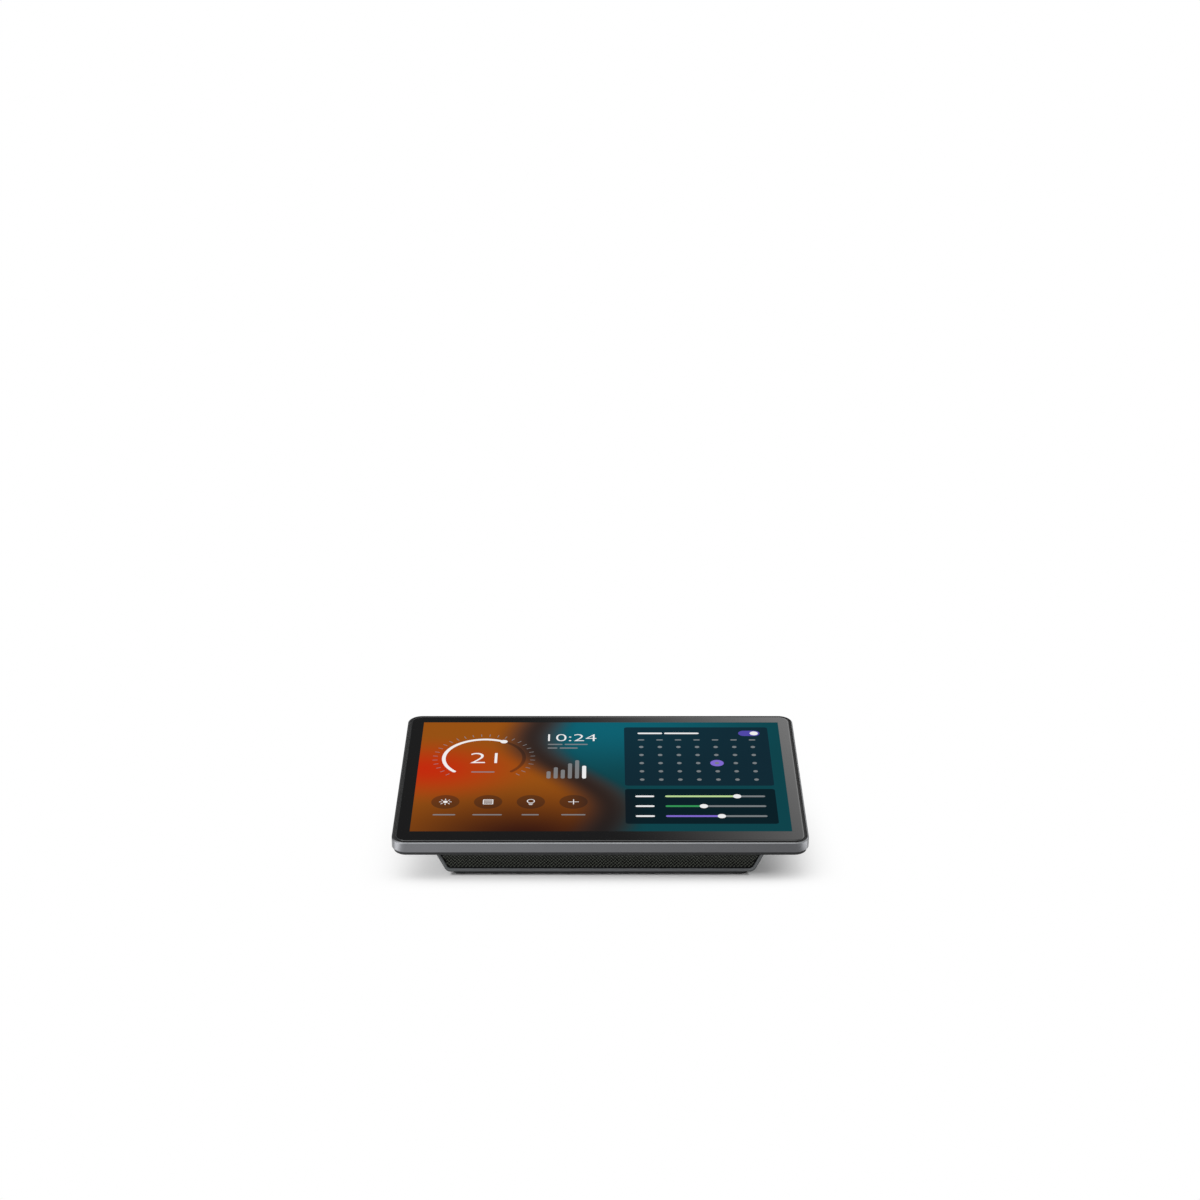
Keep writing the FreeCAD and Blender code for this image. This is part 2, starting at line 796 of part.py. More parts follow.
# Cable bay: port panel, door and lock plate
def make_port_panel():
    half = bay_width / 2 + bay_wall
    panel = block(-half, half, panel_front, bay_front, base_split, base_split + beyond)
    panel = panel.cut(above_head(deck_under - fit_clearance))
    sockets = [
        (jack_x, jack_width, jack_height),
        (video_x, video_width, video_height),
        (accessory_x, accessory_width, accessory_height),
    ]
    cuts = []
    for x, width, height in sockets:
        reach = width / 2 + socket_clearance
        cuts.append(block(x - reach, x + reach, panel_front - 1, bay_front + 1,
                          board_top - socket_clearance, board_top + height + socket_clearance))
    middle = Vector(reset_x, 0, board_top + reset_rise)
    cuts.append(cylinder(reset_radius + reset_clearance, middle + Vector(0, panel_front - 1, 0),
                         middle + Vector(0, bay_front + 1, 0)))
    return panel.cut(cuts)


def make_port_door():
    half = bay_width / 2 - door_gap
    plate = block(-half, half, door_barrel_radius - door_thickness, door_barrel_radius, 0, door_height)
    barrel = cylinder(door_barrel_radius, Vector(-half, 0, 0), Vector(half, 0, 0))
    door = plate.fuse(barrel)
    inner_face = door_barrel_radius - door_thickness
    for side in (-1, 1):
        x = side * door_rib_x
        rib = block(x - door_rib_thickness / 2, x + door_rib_thickness / 2, inner_face - door_rib_depth,
                    inner_face + door_thickness / 2, door_notch_height, door_height - door_finger_depth)
        door = door.fuse(rib)
    notch = block(-door_notch_width / 2, door_notch_width / 2, -beyond, beyond, -beyond, door_notch_height)
    scoop_middle = door_height + door_finger_radius - door_finger_depth
    scoop = cylinder(door_finger_radius, Vector(0, -beyond, scoop_middle), Vector(0, beyond, scoop_middle))
    door = door.cut([notch, scoop]).removeSplitter()
    rim = [e for e in door.Edges if abs(e.BoundBox.YMin - door_barrel_radius) < 1e-6 and e.BoundBox.ZMax > 1]
    door = door.makeChamfer(door_edge_chamfer, rim)
    reach = bay_width / 2 + bay_wall - door_pin_end_gap
    for side in (-1, 1):
        root = Vector(side * (half - 1), 0, 0)
        door = door.fuse(cylinder(door_pin_radius, root, Vector(side * reach, 0, 0)))
    return door.removeSplitter()


def make_lock_plate():
    face = rear_inner_face
    low = lock_rise - lock_plate_height / 2
    half = lock_plate_width / 2
    plate = block(lock_x - half, lock_x + half, face - lock_plate_thickness, face,
                  low, low + lock_plate_height)
    return plate.cut(lock_slot(face - lock_plate_thickness - 1, face + 1))


# Electronics
def make_ballast_plate():
    rear = panel_front - board_panel_gap
    return block(-ballast_width / 2, ballast_width / 2, rear - ballast_depth, rear, base_split,
                 base_split + ballast_thickness, ballast_corner_radius)


def make_main_board():
    board = block(-board_width / 2, board_width / 2, board_front, board_rear, board_low, board_top,
                  board_corner_radius)
    radius = board_screw_radius + screw_hole_clearance
    holes = [cylinder(radius, Vector(x, y, board_low - 1), Vector(x, y, board_top + 1))
             for x, y in board_hole_places()]
    return board.cut(holes)


def make_board_screws():
    screws = []
    for x, y in board_hole_places():
        seat = Vector(x, y, board_top)
        head = cylinder(board_screw_head_radius, seat, seat + Vector(0, 0, board_screw_head))
        screws.append(head.fuse(cylinder(board_screw_radius, seat - Vector(0, 0, board_screw_length), seat)))
    return Part.makeCompound(screws)


def shield_block(width, depth, z0, z1):
    """A block centred over the processor."""
    middle = board_front + shield_setback + shield_depth / 2
    return block(-width / 2, width / 2, middle - depth / 2, middle + depth / 2, z0, z1)


def make_processor_shield():
    can = shield_block(shield_width, shield_depth, board_top, board_top + shield_height)
    inside = shield_block(shield_width - 2 * shield_sheet, shield_depth - 2 * shield_sheet, board_top - 1,
                          board_top + shield_height - shield_sheet)
    return can.cut(inside)


def make_thermal_pad():
    low = board_top + shield_height
    return shield_block(pad_width, pad_depth, low, low + pad_thickness)


def make_heat_spreader():
    low = board_top + shield_height + pad_thickness
    spreader = shield_block(spreader_width, spreader_depth, low, low + spreader_plate)
    pitch = (spreader_width - fin_thickness) / (fin_count - 1)
    middle = board_front + shield_setback + shield_depth / 2
    for i in range(fin_count):
        x = -spreader_width / 2 + i * pitch
        fin = block(x, x + fin_thickness, middle - spreader_depth / 2, middle + spreader_depth / 2,
                    low, low + spreader_plate + fin_height)
        spreader = spreader.fuse(fin)
    return spreader.removeSplitter()


# Sockets
socket_face = bay_front + socket_proud


def jack_light_places():
    """Lower inner corners of the two lights in the network jack's face."""
    low = board_top + jack_height - jack_light_edge - jack_light_height
    reach = jack_width / 2 - jack_light_edge
    return [(jack_x - reach, low), (jack_x + reach - jack_light_width, low)]


def jack_light(clearance):
    """The two light pipes of the network jack, let out by a clearance."""
    return [block(x - clearance, x + jack_light_width + clearance, socket_face - jack_light_depth - clearance,
                  socket_face, low - clearance, low + jack_light_height + clearance)
            for x, low in jack_light_places()]


def make_network_jack():
    jack = block(jack_x - jack_width / 2, jack_x + jack_width / 2, socket_face - jack_depth, socket_face,
                 board_top, board_top + jack_height)
    low = board_top + jack_mouth_rise
    rear = socket_face - jack_mouth_depth
    mouth = block(jack_x - jack_mouth_width / 2, jack_x + jack_mouth_width / 2, rear, socket_face + 1,
                  low, low + jack_mouth_height)
    latch = block(jack_x - jack_latch_width / 2, jack_x + jack_latch_width / 2, rear, socket_face + 1,
                  low - jack_latch_height, low + 1)
    return jack.cut([mouth, latch] + jack_light(fit_clearance / 2))


def make_network_contacts():
    top = board_top + jack_mouth_rise + jack_mouth_height
    rear = socket_face - jack_mouth_depth
    contacts = []
    for i in range(jack_contact_count):
        x = jack_x + (i - (jack_contact_count - 1) / 2) * jack_contact_pitch
        half = jack_contact_width / 2
        contacts.append(block(x - half, x + half, rear, rear + jack_contact_length,
                              top - jack_contact_thickness, top))
    return Part.makeCompound(contacts)


def video_outline(inset, y0, y1):
    """The socket's outline with its two lower corners cut off, drawn in by inset."""
    half = video_width / 2 - inset
    low = board_top + inset
    high = board_top + video_height - inset
    corner = video_corner
    corners = [(video_x - half + corner, low), (video_x + half - corner, low), (video_x + half, low + corner),
               (video_x + half, high), (video_x - half, high), (video_x - half, low + corner)]
    points = [Vector(x, y0, z) for x, z in corners]
    return Part.Face(Part.makePolygon(points + points[:1])).extrude(Vector(0, y1 - y0, 0))


def make_video_socket():
    socket = video_outline(0, socket_face - video_depth, socket_face)
    return socket.cut(video_outline(video_shell, socket_face - video_mouth_depth, socket_face + 1))


def make_video_tongue():
    middle = board_top + video_height / 2
    rear = socket_face - video_mouth_depth
    half = video_tongue_width / 2
    return block(video_x - half, video_x + half, rear, rear + video_tongue_length,
                 middle - video_tongue_thickness / 2, middle + video_tongue_thickness / 2)


def accessory_outline(inset, y0, y1):
    """The socket's rounded outline, drawn in by inset."""
    bar = racetrack(accessory_width - 2 * inset, accessory_height - 2 * inset, 0, y1 - y0)
    middle = Vector(accessory_x, y1, board_top + accessory_height / 2)
    return placed(bar, Placement(middle, Rotation(Vector(1, 0, 0), 90)))


def make_accessory_socket():
    socket = accessory_outline(0, socket_face - accessory_depth, socket_face)
    mouth = accessory_outline(accessory_shell, socket_face - accessory_mouth_depth, socket_face + 1)
    return socket.cut(mouth)


def make_accessory_tongue():
    middle = board_top + accessory_height / 2
    rear = socket_face - accessory_mouth_depth
    half = accessory_tongue_width / 2
    return block(accessory_x - half, accessory_x + half, rear, rear + accessory_tongue_length,
                 middle - accessory_tongue_thickness / 2, middle + accessory_tongue_thickness / 2)


def make_reset_switch():
    front = panel_front - reset_switch_setback
    half = reset_switch_width / 2
    return block(reset_x - half, reset_x + half, front, front + reset_switch_depth,
                 board_top, board_top + reset_switch_height)


def make_reset_button():
    middle = Vector(reset_x, 0, board_top + reset_rise)
    switch_face = panel_front - reset_switch_setback + reset_switch_depth
    start = switch_face + reset_travel + reset_spare
    end = bay_front - reset_recess
    stem = cylinder(reset_radius, middle + Vector(0, start, 0), middle + Vector(0, end, 0))
    collar_end = panel_front - reset_clearance
    collar = cylinder(reset_collar_radius, middle + Vector(0, collar_end - reset_collar_length, 0),
                      middle + Vector(0, collar_end, 0))
    return stem.fuse(collar).removeSplitter()


def build():
    """Every piece of the console by name, in its place."""
    body = base_body()
    pieces = {
        "mid_frame": placed(make_mid_frame(), HEAD),
        "cover_glass": placed(make_cover_glass(), HEAD),
        "glass_gasket": placed(make_glass_gasket(), HEAD),
        "touch_sensor": placed(screen_plate(0, touch_bottom, glass_bottom), HEAD),
        "lcd_panel": placed(screen_plate(0, lcd_bottom, touch_bottom), HEAD),
        "light_guide": placed(make_light_guide(), HEAD),
        "backlight_tray": placed(make_backlight_tray(), HEAD),
        "rear_cover": placed(make_rear_cover(), HEAD),
        "head_screws": placed(make_head_screws(), HEAD),
        "display_flex": make_flex(flex_x, display_flex_width),
        "touch_flex": make_flex(-flex_x, touch_flex_width),
        "base_shell": make_base_shell(body),
        "base_plate": make_base_plate(),
        "base_screws": make_base_screws(),
        "grille_mesh": placed(make_grille_mesh(), FRONT),
        "grille_backing": placed(make_grille_backing(), FRONT),
        "ballast_plate": make_ballast_plate(),
        "main_board": make_main_board(),
        "board_screws": make_board_screws(),
        "board_standoffs": make_board_standoffs(),
        "processor_shield": make_processor_shield(),
        "thermal_pad": make_thermal_pad(),
        "heat_spreader": make_heat_spreader(),
        "display_connector": make_connector(flex_x, display_flex_width),
        "touch_connector": make_connector(-flex_x, touch_flex_width),
        "port_panel": make_port_panel(),
        "port_door": placed(make_port_door(), REAR),
        "lock_plate": placed(make_lock_plate(), REAR),
        "network_jack": make_network_jack(),
        "network_contacts": make_network_contacts(),
        "network_lights": Part.makeCompound(jack_light(0)),
        "video_socket": make_video_socket(),
        "video_tongue": make_video_tongue(),
        "accessory_socket": make_accessory_socket(),
        "accessory_tongue": make_accessory_tongue(),
        "reset_switch": make_reset_switch(),
        "reset_button": make_reset_button(),
    }
    for corner, place in foot_places().items():
        pieces["foot_" + corner] = make_foot(place)
    for name, side in (("left", -1), ("right", 1)):
        pieces["radio_antenna_" + name] = placed(make_radio_antenna(side), HEAD)
        seat = speaker_placement(side)
        pieces["speaker_basket_" + name] = placed(make_speaker_basket(), seat)
        pieces["speaker_magnet_" + name] = placed(make_speaker_magnet(), seat)
        pieces["speaker_surround_" + name] = placed(make_speaker_surround(), seat)
        pieces["speaker_cone_" + name] = placed(make_speaker_cone(), seat)
    return pieces


def main():
    """Writes one STEP file per piece and prints the places that the joints turn and slide on."""
    os.makedirs("parts", exist_ok=True)
    for name, shape in build().items():
        if not shape.isValid() or shape.Volume <= 0:
            raise ValueError(name + " is not a sound solid")
        shape.exportStep("parts/" + name + ".step")
    cone_axis = FRONT.Rotation.multVec(Vector(0, 0, 1))
    print("door pivot", [0.0, round(pivot_y, 4), round(pivot_z, 4)])
    print("cone axis", [round(value, 6) for value in cone_axis])
    print("bay front", round(bay_front, 3), "board top", round(board_top, 3))


main()
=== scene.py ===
import logging
import math
from dataclasses import dataclass, field
from enum import Enum, IntEnum
from typing import Callable, Iterable, Sequence, Union

import bmesh
import bpy
from bmesh.types import BMesh
from bpy.types import Material, Mesh, MeshPolygon, Node, NodeSocket, Object
from mathutils import Matrix, Vector


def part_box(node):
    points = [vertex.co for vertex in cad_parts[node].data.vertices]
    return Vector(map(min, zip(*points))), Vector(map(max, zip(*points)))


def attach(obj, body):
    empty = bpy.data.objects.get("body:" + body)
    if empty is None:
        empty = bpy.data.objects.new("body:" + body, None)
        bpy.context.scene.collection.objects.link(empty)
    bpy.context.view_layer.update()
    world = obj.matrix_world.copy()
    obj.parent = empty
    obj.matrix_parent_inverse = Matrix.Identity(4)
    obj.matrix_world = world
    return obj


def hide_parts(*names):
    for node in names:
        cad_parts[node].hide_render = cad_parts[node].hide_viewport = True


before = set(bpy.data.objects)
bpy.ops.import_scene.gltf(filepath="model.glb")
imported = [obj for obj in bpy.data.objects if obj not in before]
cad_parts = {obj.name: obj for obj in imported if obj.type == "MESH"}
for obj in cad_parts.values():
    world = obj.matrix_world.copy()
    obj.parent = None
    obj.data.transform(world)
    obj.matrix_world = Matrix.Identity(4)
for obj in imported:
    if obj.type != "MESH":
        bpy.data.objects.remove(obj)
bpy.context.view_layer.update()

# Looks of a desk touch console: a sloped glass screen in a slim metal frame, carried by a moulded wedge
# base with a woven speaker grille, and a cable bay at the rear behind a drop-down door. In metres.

log = logging.getLogger("touch_console")

MM = 0.001
SHARP_ANGLE = math.radians(32)
WELD_DISTANCE = 2e-6

Colour = tuple[float, float, float]
Place = tuple[float, float, float]
Point = tuple[float, float]

BLACK: Colour = (0.0, 0.0, 0.0)


def srgb(red: int, green: int, blue: int) -> Colour:
    """Turns a display colour, 0 to 255, into the linear one that a shader takes, by the sRGB curve."""
    shares = (red / 255, green / 255, blue / 255)
    return tuple(s / 12.92 if s <= 0.04045 else ((s + 0.055) / 1.055) ** 2.4 for s in shares)


# Node trees

# Sockets of a smooth step, and those of a mix of colours and of a random number, which share their names
EASE_INPUTS = ("Value", "From Min", "From Max", "To Min", "To Max")
MIX_INPUTS = (0, 6, 7)
MIX_RESULT = 2
RANDOM_MOST = 3
RANDOM_RESULT = 1


class Wire:
    """An output in a node tree, on which sums are written as with plain numbers."""

    def __init__(self, sketch: "Sketch", socket: NodeSocket) -> None:
        """Keeps the output and the sketch of its tree."""
        self.sketch = sketch
        self.socket = socket

    def __add__(self, other: "Value") -> "Wire":
        """Adds a sum."""
        return self.sketch.math("ADD", self, other)

    def __sub__(self, other: "Value") -> "Wire":
        """Adds a difference."""
        return self.sketch.math("SUBTRACT", self, other)

    def __rsub__(self, other: float) -> "Wire":
        """Adds a difference from a number."""
        return self.sketch.math("SUBTRACT", other, self)

    def __mul__(self, other: "Value") -> "Wire":
        """Adds a product."""
        return self.sketch.math("MULTIPLY", self, other)

    def __truediv__(self, other: "Value") -> "Wire":
        """Adds a quotient."""
        return self.sketch.math("DIVIDE", self, other)

    def __gt__(self, other: "Value") -> "Wire":
        """Adds a comparison, 1 where this is the greater."""
        return self.sketch.math("GREATER_THAN", self, other)

    def __abs__(self) -> "Wire":
        """Adds the value without its sign."""
        return self.sketch.math("ABSOLUTE", self)


Value = Union[float, NodeSocket, Wire]
Inputs = dict[Union[int, str], object]


class Sketch:
    """Adds nodes to a tree and links them."""

    def __init__(self, tree: bpy.types.NodeTree) -> None:
        """Keeps the tree that is drawn on."""
        self.tree = tree

    def feed(self, socket: NodeSocket, value: object) -> None:
        """Links a socket to an output, or sets it to a constant.

        Args:
            socket: The input.
            value: The output or the constant.
        """
        output = value.socket if isinstance(value, Wire) else value
        if isinstance(output, NodeSocket):
            self.tree.links.new(output, socket)
        else:
            socket.default_value = output

    def node(self, kind: str, inputs: Inputs, **settings: object) -> Node:
        """Adds a node.

        Args:
            kind: Blender's name for the node type.
            inputs: What feeds its inputs, by name or number.
            settings: Its properties.

        Returns:
            The new node.
        """
        node = self.tree.nodes.new(kind)
        for name, setting in settings.items():
            setattr(node, name, setting)
        for name, value in inputs.items():
            self.feed(node.inputs[name], value)
        return node

    def wire(self, kind: str, output: Union[int, str], inputs: Inputs, **settings: object) -> Wire:
        """Adds a node and gives one of its outputs."""
        return Wire(self, self.node(kind, inputs, **settings).outputs[output])

    def math(self, operation: str, first: Value, second: Value = 0.0) -> Wire:
        """Adds an operation on one number or two."""
        return self.wire("ShaderNodeMath", 0, {0: first, 1: second}, operation=operation)

    def ease(self, value: Value, span: Point, low: float = 0.0, high: float = 1.0) -> Wire:
        """Adds a smooth step from low to high, as the value goes from the span's start to its end."""
        inputs = dict(zip(EASE_INPUTS, (value, *span, low, high)))
        return self.wire("ShaderNodeMapRange", "Result", inputs, interpolation_type="SMOOTHSTEP")

    def mix(self, share: Value, first: object, second: object, blend: str = "MIX") -> Wire:
        """Adds a mix of two colours.

        Args:
            share: Share of the second colour.
            first: First colour, as a colour or an output.
            second: Second colour, as a colour or an output.
            blend: How the second goes onto the first.

        Returns:
            The mixed colour.
        """
        colours = [(*colour, 1.0) if isinstance(colour, tuple) else colour for colour in (first, second)]
        inputs = dict(zip(MIX_INPUTS, (share, *colours)))
        return self.wire("ShaderNodeMix", MIX_RESULT, inputs, data_type="RGBA", blend_type=blend)

    def parts(self, vector: Value) -> list[Wire]:
        """Adds the X, Y and Z of a vector."""
        return [Wire(self, output) for output in self.node("ShaderNodeSeparateXYZ", {0: vector}).outputs]

    def distance(self, place: Value, middle: Place = (0.0, 0.0, 0.0)) -> Wire:
        """Adds the distance of a place from a fixed one."""
        return self.wire("ShaderNodeVectorMath", "Value", {0: place, 1: middle}, operation="DISTANCE")

    def object_point(self, stretch: Place = (1.0, 1.0, 1.0)) -> Wire:
        """Adds the place on the piece, stretched along each axis."""
        place = self.wire("ShaderNodeTexCoord", "Object", {})
        return self.wire("ShaderNodeMapping", "Vector", {"Vector": place, "Scale": stretch})

    def noise(self, place: Wire, size: float, detail: float) -> Wire:
        """Adds a noise pattern, 0 to 1, by the size of a grain and the number of finer layers."""
        return self.wire("ShaderNodeTexNoise", "Fac", {"Vector": place, "Scale": 1 / size, "Detail": detail})


# Finishes

# A patch of colour is many grains wide. Roughness follows the grain, up and down by a spread.
PATCH_GRAINS = 40.0
PATCH_DETAIL = 4.0
GRAIN_DETAIL = 3.0
GRAIN_STEP: Point = (0.25, 0.75)
GRAIN_STRENGTH = 0.6
SMOOTH_SPREAD = 0.02
ROUGH_SPREAD = 0.08
LEAST_ROUGHNESS = 0.02
BRUSH_STRETCH: Place = (0.04, 1.0, 1.0)

# Copper tracks are bands of a bent wave
TRACK_WAVE = 0.31
TRACK_BEND = 3.0
TRACK_BEND_SCALE = 0.4
TRACK_EDGE: Point = (0.62, 0.70)


class Texture(Enum):
    """How a surface was made, which decides its fine relief."""

    BLASTED = "bead-blasted metal"
    MOULDED = "spark-eroded moulding"
    BRUSHED = "drawn or brushed metal"
    SMOOTH = "polished or glazed"
    FIBRED = "pressed fibre"
    TRACKED = "board with copper tracks"


@dataclass(frozen=True)
class Finish:
    """A surface finish, which becomes one material.

    Attributes:
        slot: Material slot of the record.
        colour: Linear base colour.
        roughness: Middle roughness.
        metallic: 1 for bare metal.
        texture: How the surface was made.
        grain: Size of one grain of its texture.
        relief: Height of that grain.
        mottle: Share by which the colour varies.
        specular: Level of the surface's clear reflection.
    """

    slot: str
    colour: Colour
    roughness: float
    metallic: float = 0.0
    texture: Texture = Texture.MOULDED
    grain: float = 0.35 * MM
    relief: float = 0.012 * MM
    mottle: float = 0.12
    specular: float = 0.5

    def material(self) -> Material:
        """Builds the material.

        Returns:
            The new material.
        """
        material = bpy.data.materials.new(self.slot)
        material.use_nodes = True
        shader = material.node_tree.nodes["Principled BSDF"]
        shader.inputs["Metallic"].default_value = self.metallic
        shader.inputs["Specular IOR Level"].default_value = self.specular
        self.paint(Sketch(material.node_tree), shader)
        return material

    def tone(self, sketch: Sketch, pattern: Wire) -> Wire:
        """Adds the base colour with its slow variation.

        Args:
            sketch: The material's nodes.
            pattern: Pattern that the colour follows.

        Returns:
            The colour.
        """
        deep = tuple(c * (1 - self.mottle) for c in self.colour)
        pale = tuple(min(1.0, c * (1 + self.mottle)) for c in self.colour)
        return sketch.mix(pattern, deep, pale)

    def paint(self, sketch: Sketch, shader: Node) -> None:
        """Links colour, roughness and relief to the shader.

        Args:
            sketch: The material's nodes.
            shader: The principled shader.
        """
        smooth = self.texture is Texture.SMOOTH
        brushed = self.texture is Texture.BRUSHED
        place = sketch.object_point(BRUSH_STRETCH) if brushed else sketch.object_point()
        broad = sketch.noise(place, PATCH_GRAINS * self.grain, PATCH_DETAIL)
        fine = sketch.noise(place, self.grain, GRAIN_DETAIL)
        sketch.feed(shader.inputs["Base Color"], self.tone(sketch, broad))
        spread = SMOOTH_SPREAD if smooth else ROUGH_SPREAD
        low = max(LEAST_ROUGHNESS, self.roughness - spread)
        rough = sketch.ease(fine, GRAIN_STEP, low, self.roughness + spread)
        sketch.feed(shader.inputs["Roughness"], rough)
        if smooth:
            return
        heights = {"Strength": GRAIN_STRENGTH, "Distance": self.relief, "Height": fine}
        sketch.feed(shader.inputs["Normal"], sketch.wire("ShaderNodeBump", "Normal", heights))


@dataclass(frozen=True)
class MarkedFinish(Finish):
    """A finish with a second colour where the mesh is marked.

    Attributes:
        mark: Name of the mesh attribute that marks those places.
        marked_colour: Linear colour there.
    """

    mark: str = ""
    marked_colour: Colour = BLACK

    def tone(self, sketch: Sketch, pattern: Wire) -> Wire:
        """Adds the base colour, and the second one on the marked places."""
        marked = sketch.wire("ShaderNodeAttribute", "Fac", {}, attribute_name=self.mark)
        return sketch.mix(marked, super().tone(sketch, pattern), self.marked_colour)


@dataclass(frozen=True)
class TrackedFinish(Finish):
    """Lacquered board or film with copper tracks under its surface.

    Attributes:
        track_colour: Linear colour over a track.
        track_pitch: Distance between tracks.
    """

    track_colour: Colour = BLACK
    track_pitch: float = 1.2 * MM

    def tone(self, sketch: Sketch, pattern: Wire) -> Wire:
        """Adds the base colour with the tracks showing through.

        Args:
            sketch: The material's nodes.
            pattern: Pattern that the base colour follows.

        Returns:
            The colour.
        """
        bands = {"Vector": sketch.object_point(), "Scale": TRACK_WAVE / self.track_pitch,
                 "Distortion": TRACK_BEND, "Detail Scale": TRACK_BEND_SCALE}
        wave = sketch.wire("ShaderNodeTexWave", "Fac", bands, bands_direction="X", wave_profile="TRI")
        track = sketch.ease(wave, TRACK_EDGE)
        return sketch.mix(track, super().tone(sketch, pattern), self.track_colour)


@dataclass(frozen=True)
class GlowSpot:
    """A round soft spot of colour on the picture.

    Attributes:
        colour: Linear colour in its middle.
        middle: Place of its middle, 0 to 1 each way.
        reach: Where it has faded out.
    """

    colour: Colour
    middle: Point
    reach: float

    def over(self, sketch: Sketch, place: Wire, ground: object) -> Wire:
        """Adds the spot, by the place on the picture, to the colour that lies under it."""
        away = sketch.distance(place, (*self.middle, 0.0))
        return sketch.mix(sketch.ease(away, (0.0, self.reach), 1.0, 0.0), ground, self.colour)


@dataclass(frozen=True)
class Glow:
    """The soft colours behind the picture's shapes: a warm side, a cool one and a dusky border."""

    amber: Colour = srgb(150, 80, 16)
    deep_sea: Colour = srgb(10, 66, 74)
    dusk: Colour = srgb(26, 22, 22)
    umber: GlowSpot = GlowSpot(srgb(48, 18, 12), (0.30, -0.06), 0.58)
    ember: GlowSpot = GlowSpot(srgb(192, 42, 8), (0.02, 0.55), 0.34)
    lagoon: GlowSpot = GlowSpot(srgb(9, 96, 112), (0.52, 0.96), 0.55)
    border_low: float = 0.50
    border_lean: float = -0.17
    border_bend: float = 0.06
    border_soft: float = 0.10
    dusk_reach: float = 0.12
    dusk_level: float = 0.85

    def colour(self, sketch: Sketch) -> Wire:
        """Adds the whole glow.

        Args:
            sketch: The material's nodes.

        Returns:
            Its colour.
        """
        place = sketch.wire("ShaderNodeUVMap", "UV", {}, uv_map="picture")
        across, up, _ = sketch.parts(place)
        bend = sketch.math("SINE", up * math.tau) * self.border_bend
        beyond = across - (up * self.border_lean + self.border_low + bend)
        warm = self.ember.over(sketch, place, self.umber.over(sketch, place, self.amber))
        cool = self.lagoon.over(sketch, place, self.deep_sea)
        sides = sketch.mix(sketch.ease(beyond, (-self.border_soft, self.border_soft)), warm, cool)
        nearness = sketch.ease(abs(beyond), (0.0, self.dusk_reach), self.dusk_level, 0.0)
        return sketch.mix(nearness, sides, self.dusk)


@dataclass(frozen=True)
class LitFinish(Finish):
    """Part of the lit picture: the glow, dimmed, with its own light on top.

    Attributes:
        glow: Colours behind the shapes.
        dim: Share of the glow that comes through.
        own: Linear colour of the part's own light.
    """

    glow: Glow = Glow()
    dim: float = 1.0
    own: Colour = BLACK

    def paint(self, sketch: Sketch, shader: Node) -> None:
        """Links the light to the shader's emission.

        Args:
            sketch: The material's nodes.
            shader: The principled shader.
        """
        shader.inputs["Base Color"].default_value = (*self.colour, 1.0)
        shader.inputs["Roughness"].default_value = self.roughness
        shader.inputs["Emission Strength"].default_value = 1.0
        through = sketch.mix(1.0 - self.dim, self.glow.colour(sketch), BLACK)
        sketch.feed(shader.inputs["Emission Color"], sketch.mix(1.0, through, self.own, "ADD"))


PANEL_BLACK: Colour = (0.002, 0.002, 0.002)
PANEL_ROUGHNESS = 0.5


def lit(name: str, dim: float, own: Colour = BLACK) -> LitFinish:
    """Gives the finish of one part of the lit picture, which reflects nothing itself."""
    return LitFinish(name, PANEL_BLACK, PANEL_ROUGHNESS, specular=0.0, dim=dim, own=own)


def metal(slot: str, colour: Colour, roughness: float, grain: float, relief: float,
          mottle: float = Finish.mottle) -> Finish:
    """Gives the finish of a drawn or brushed metal, with its grain and relief in millimetres."""
    return Finish(slot, colour, roughness, 1.0, Texture.BRUSHED, grain * MM, relief * MM, mottle)


def glazed(slot: str, colour: Colour, roughness: float, mottle: float = Finish.mottle) -> Finish:
    """Gives the finish of a polished or glazed surface."""
    return Finish(slot, colour, roughness, texture=Texture.SMOOTH, mottle=mottle)


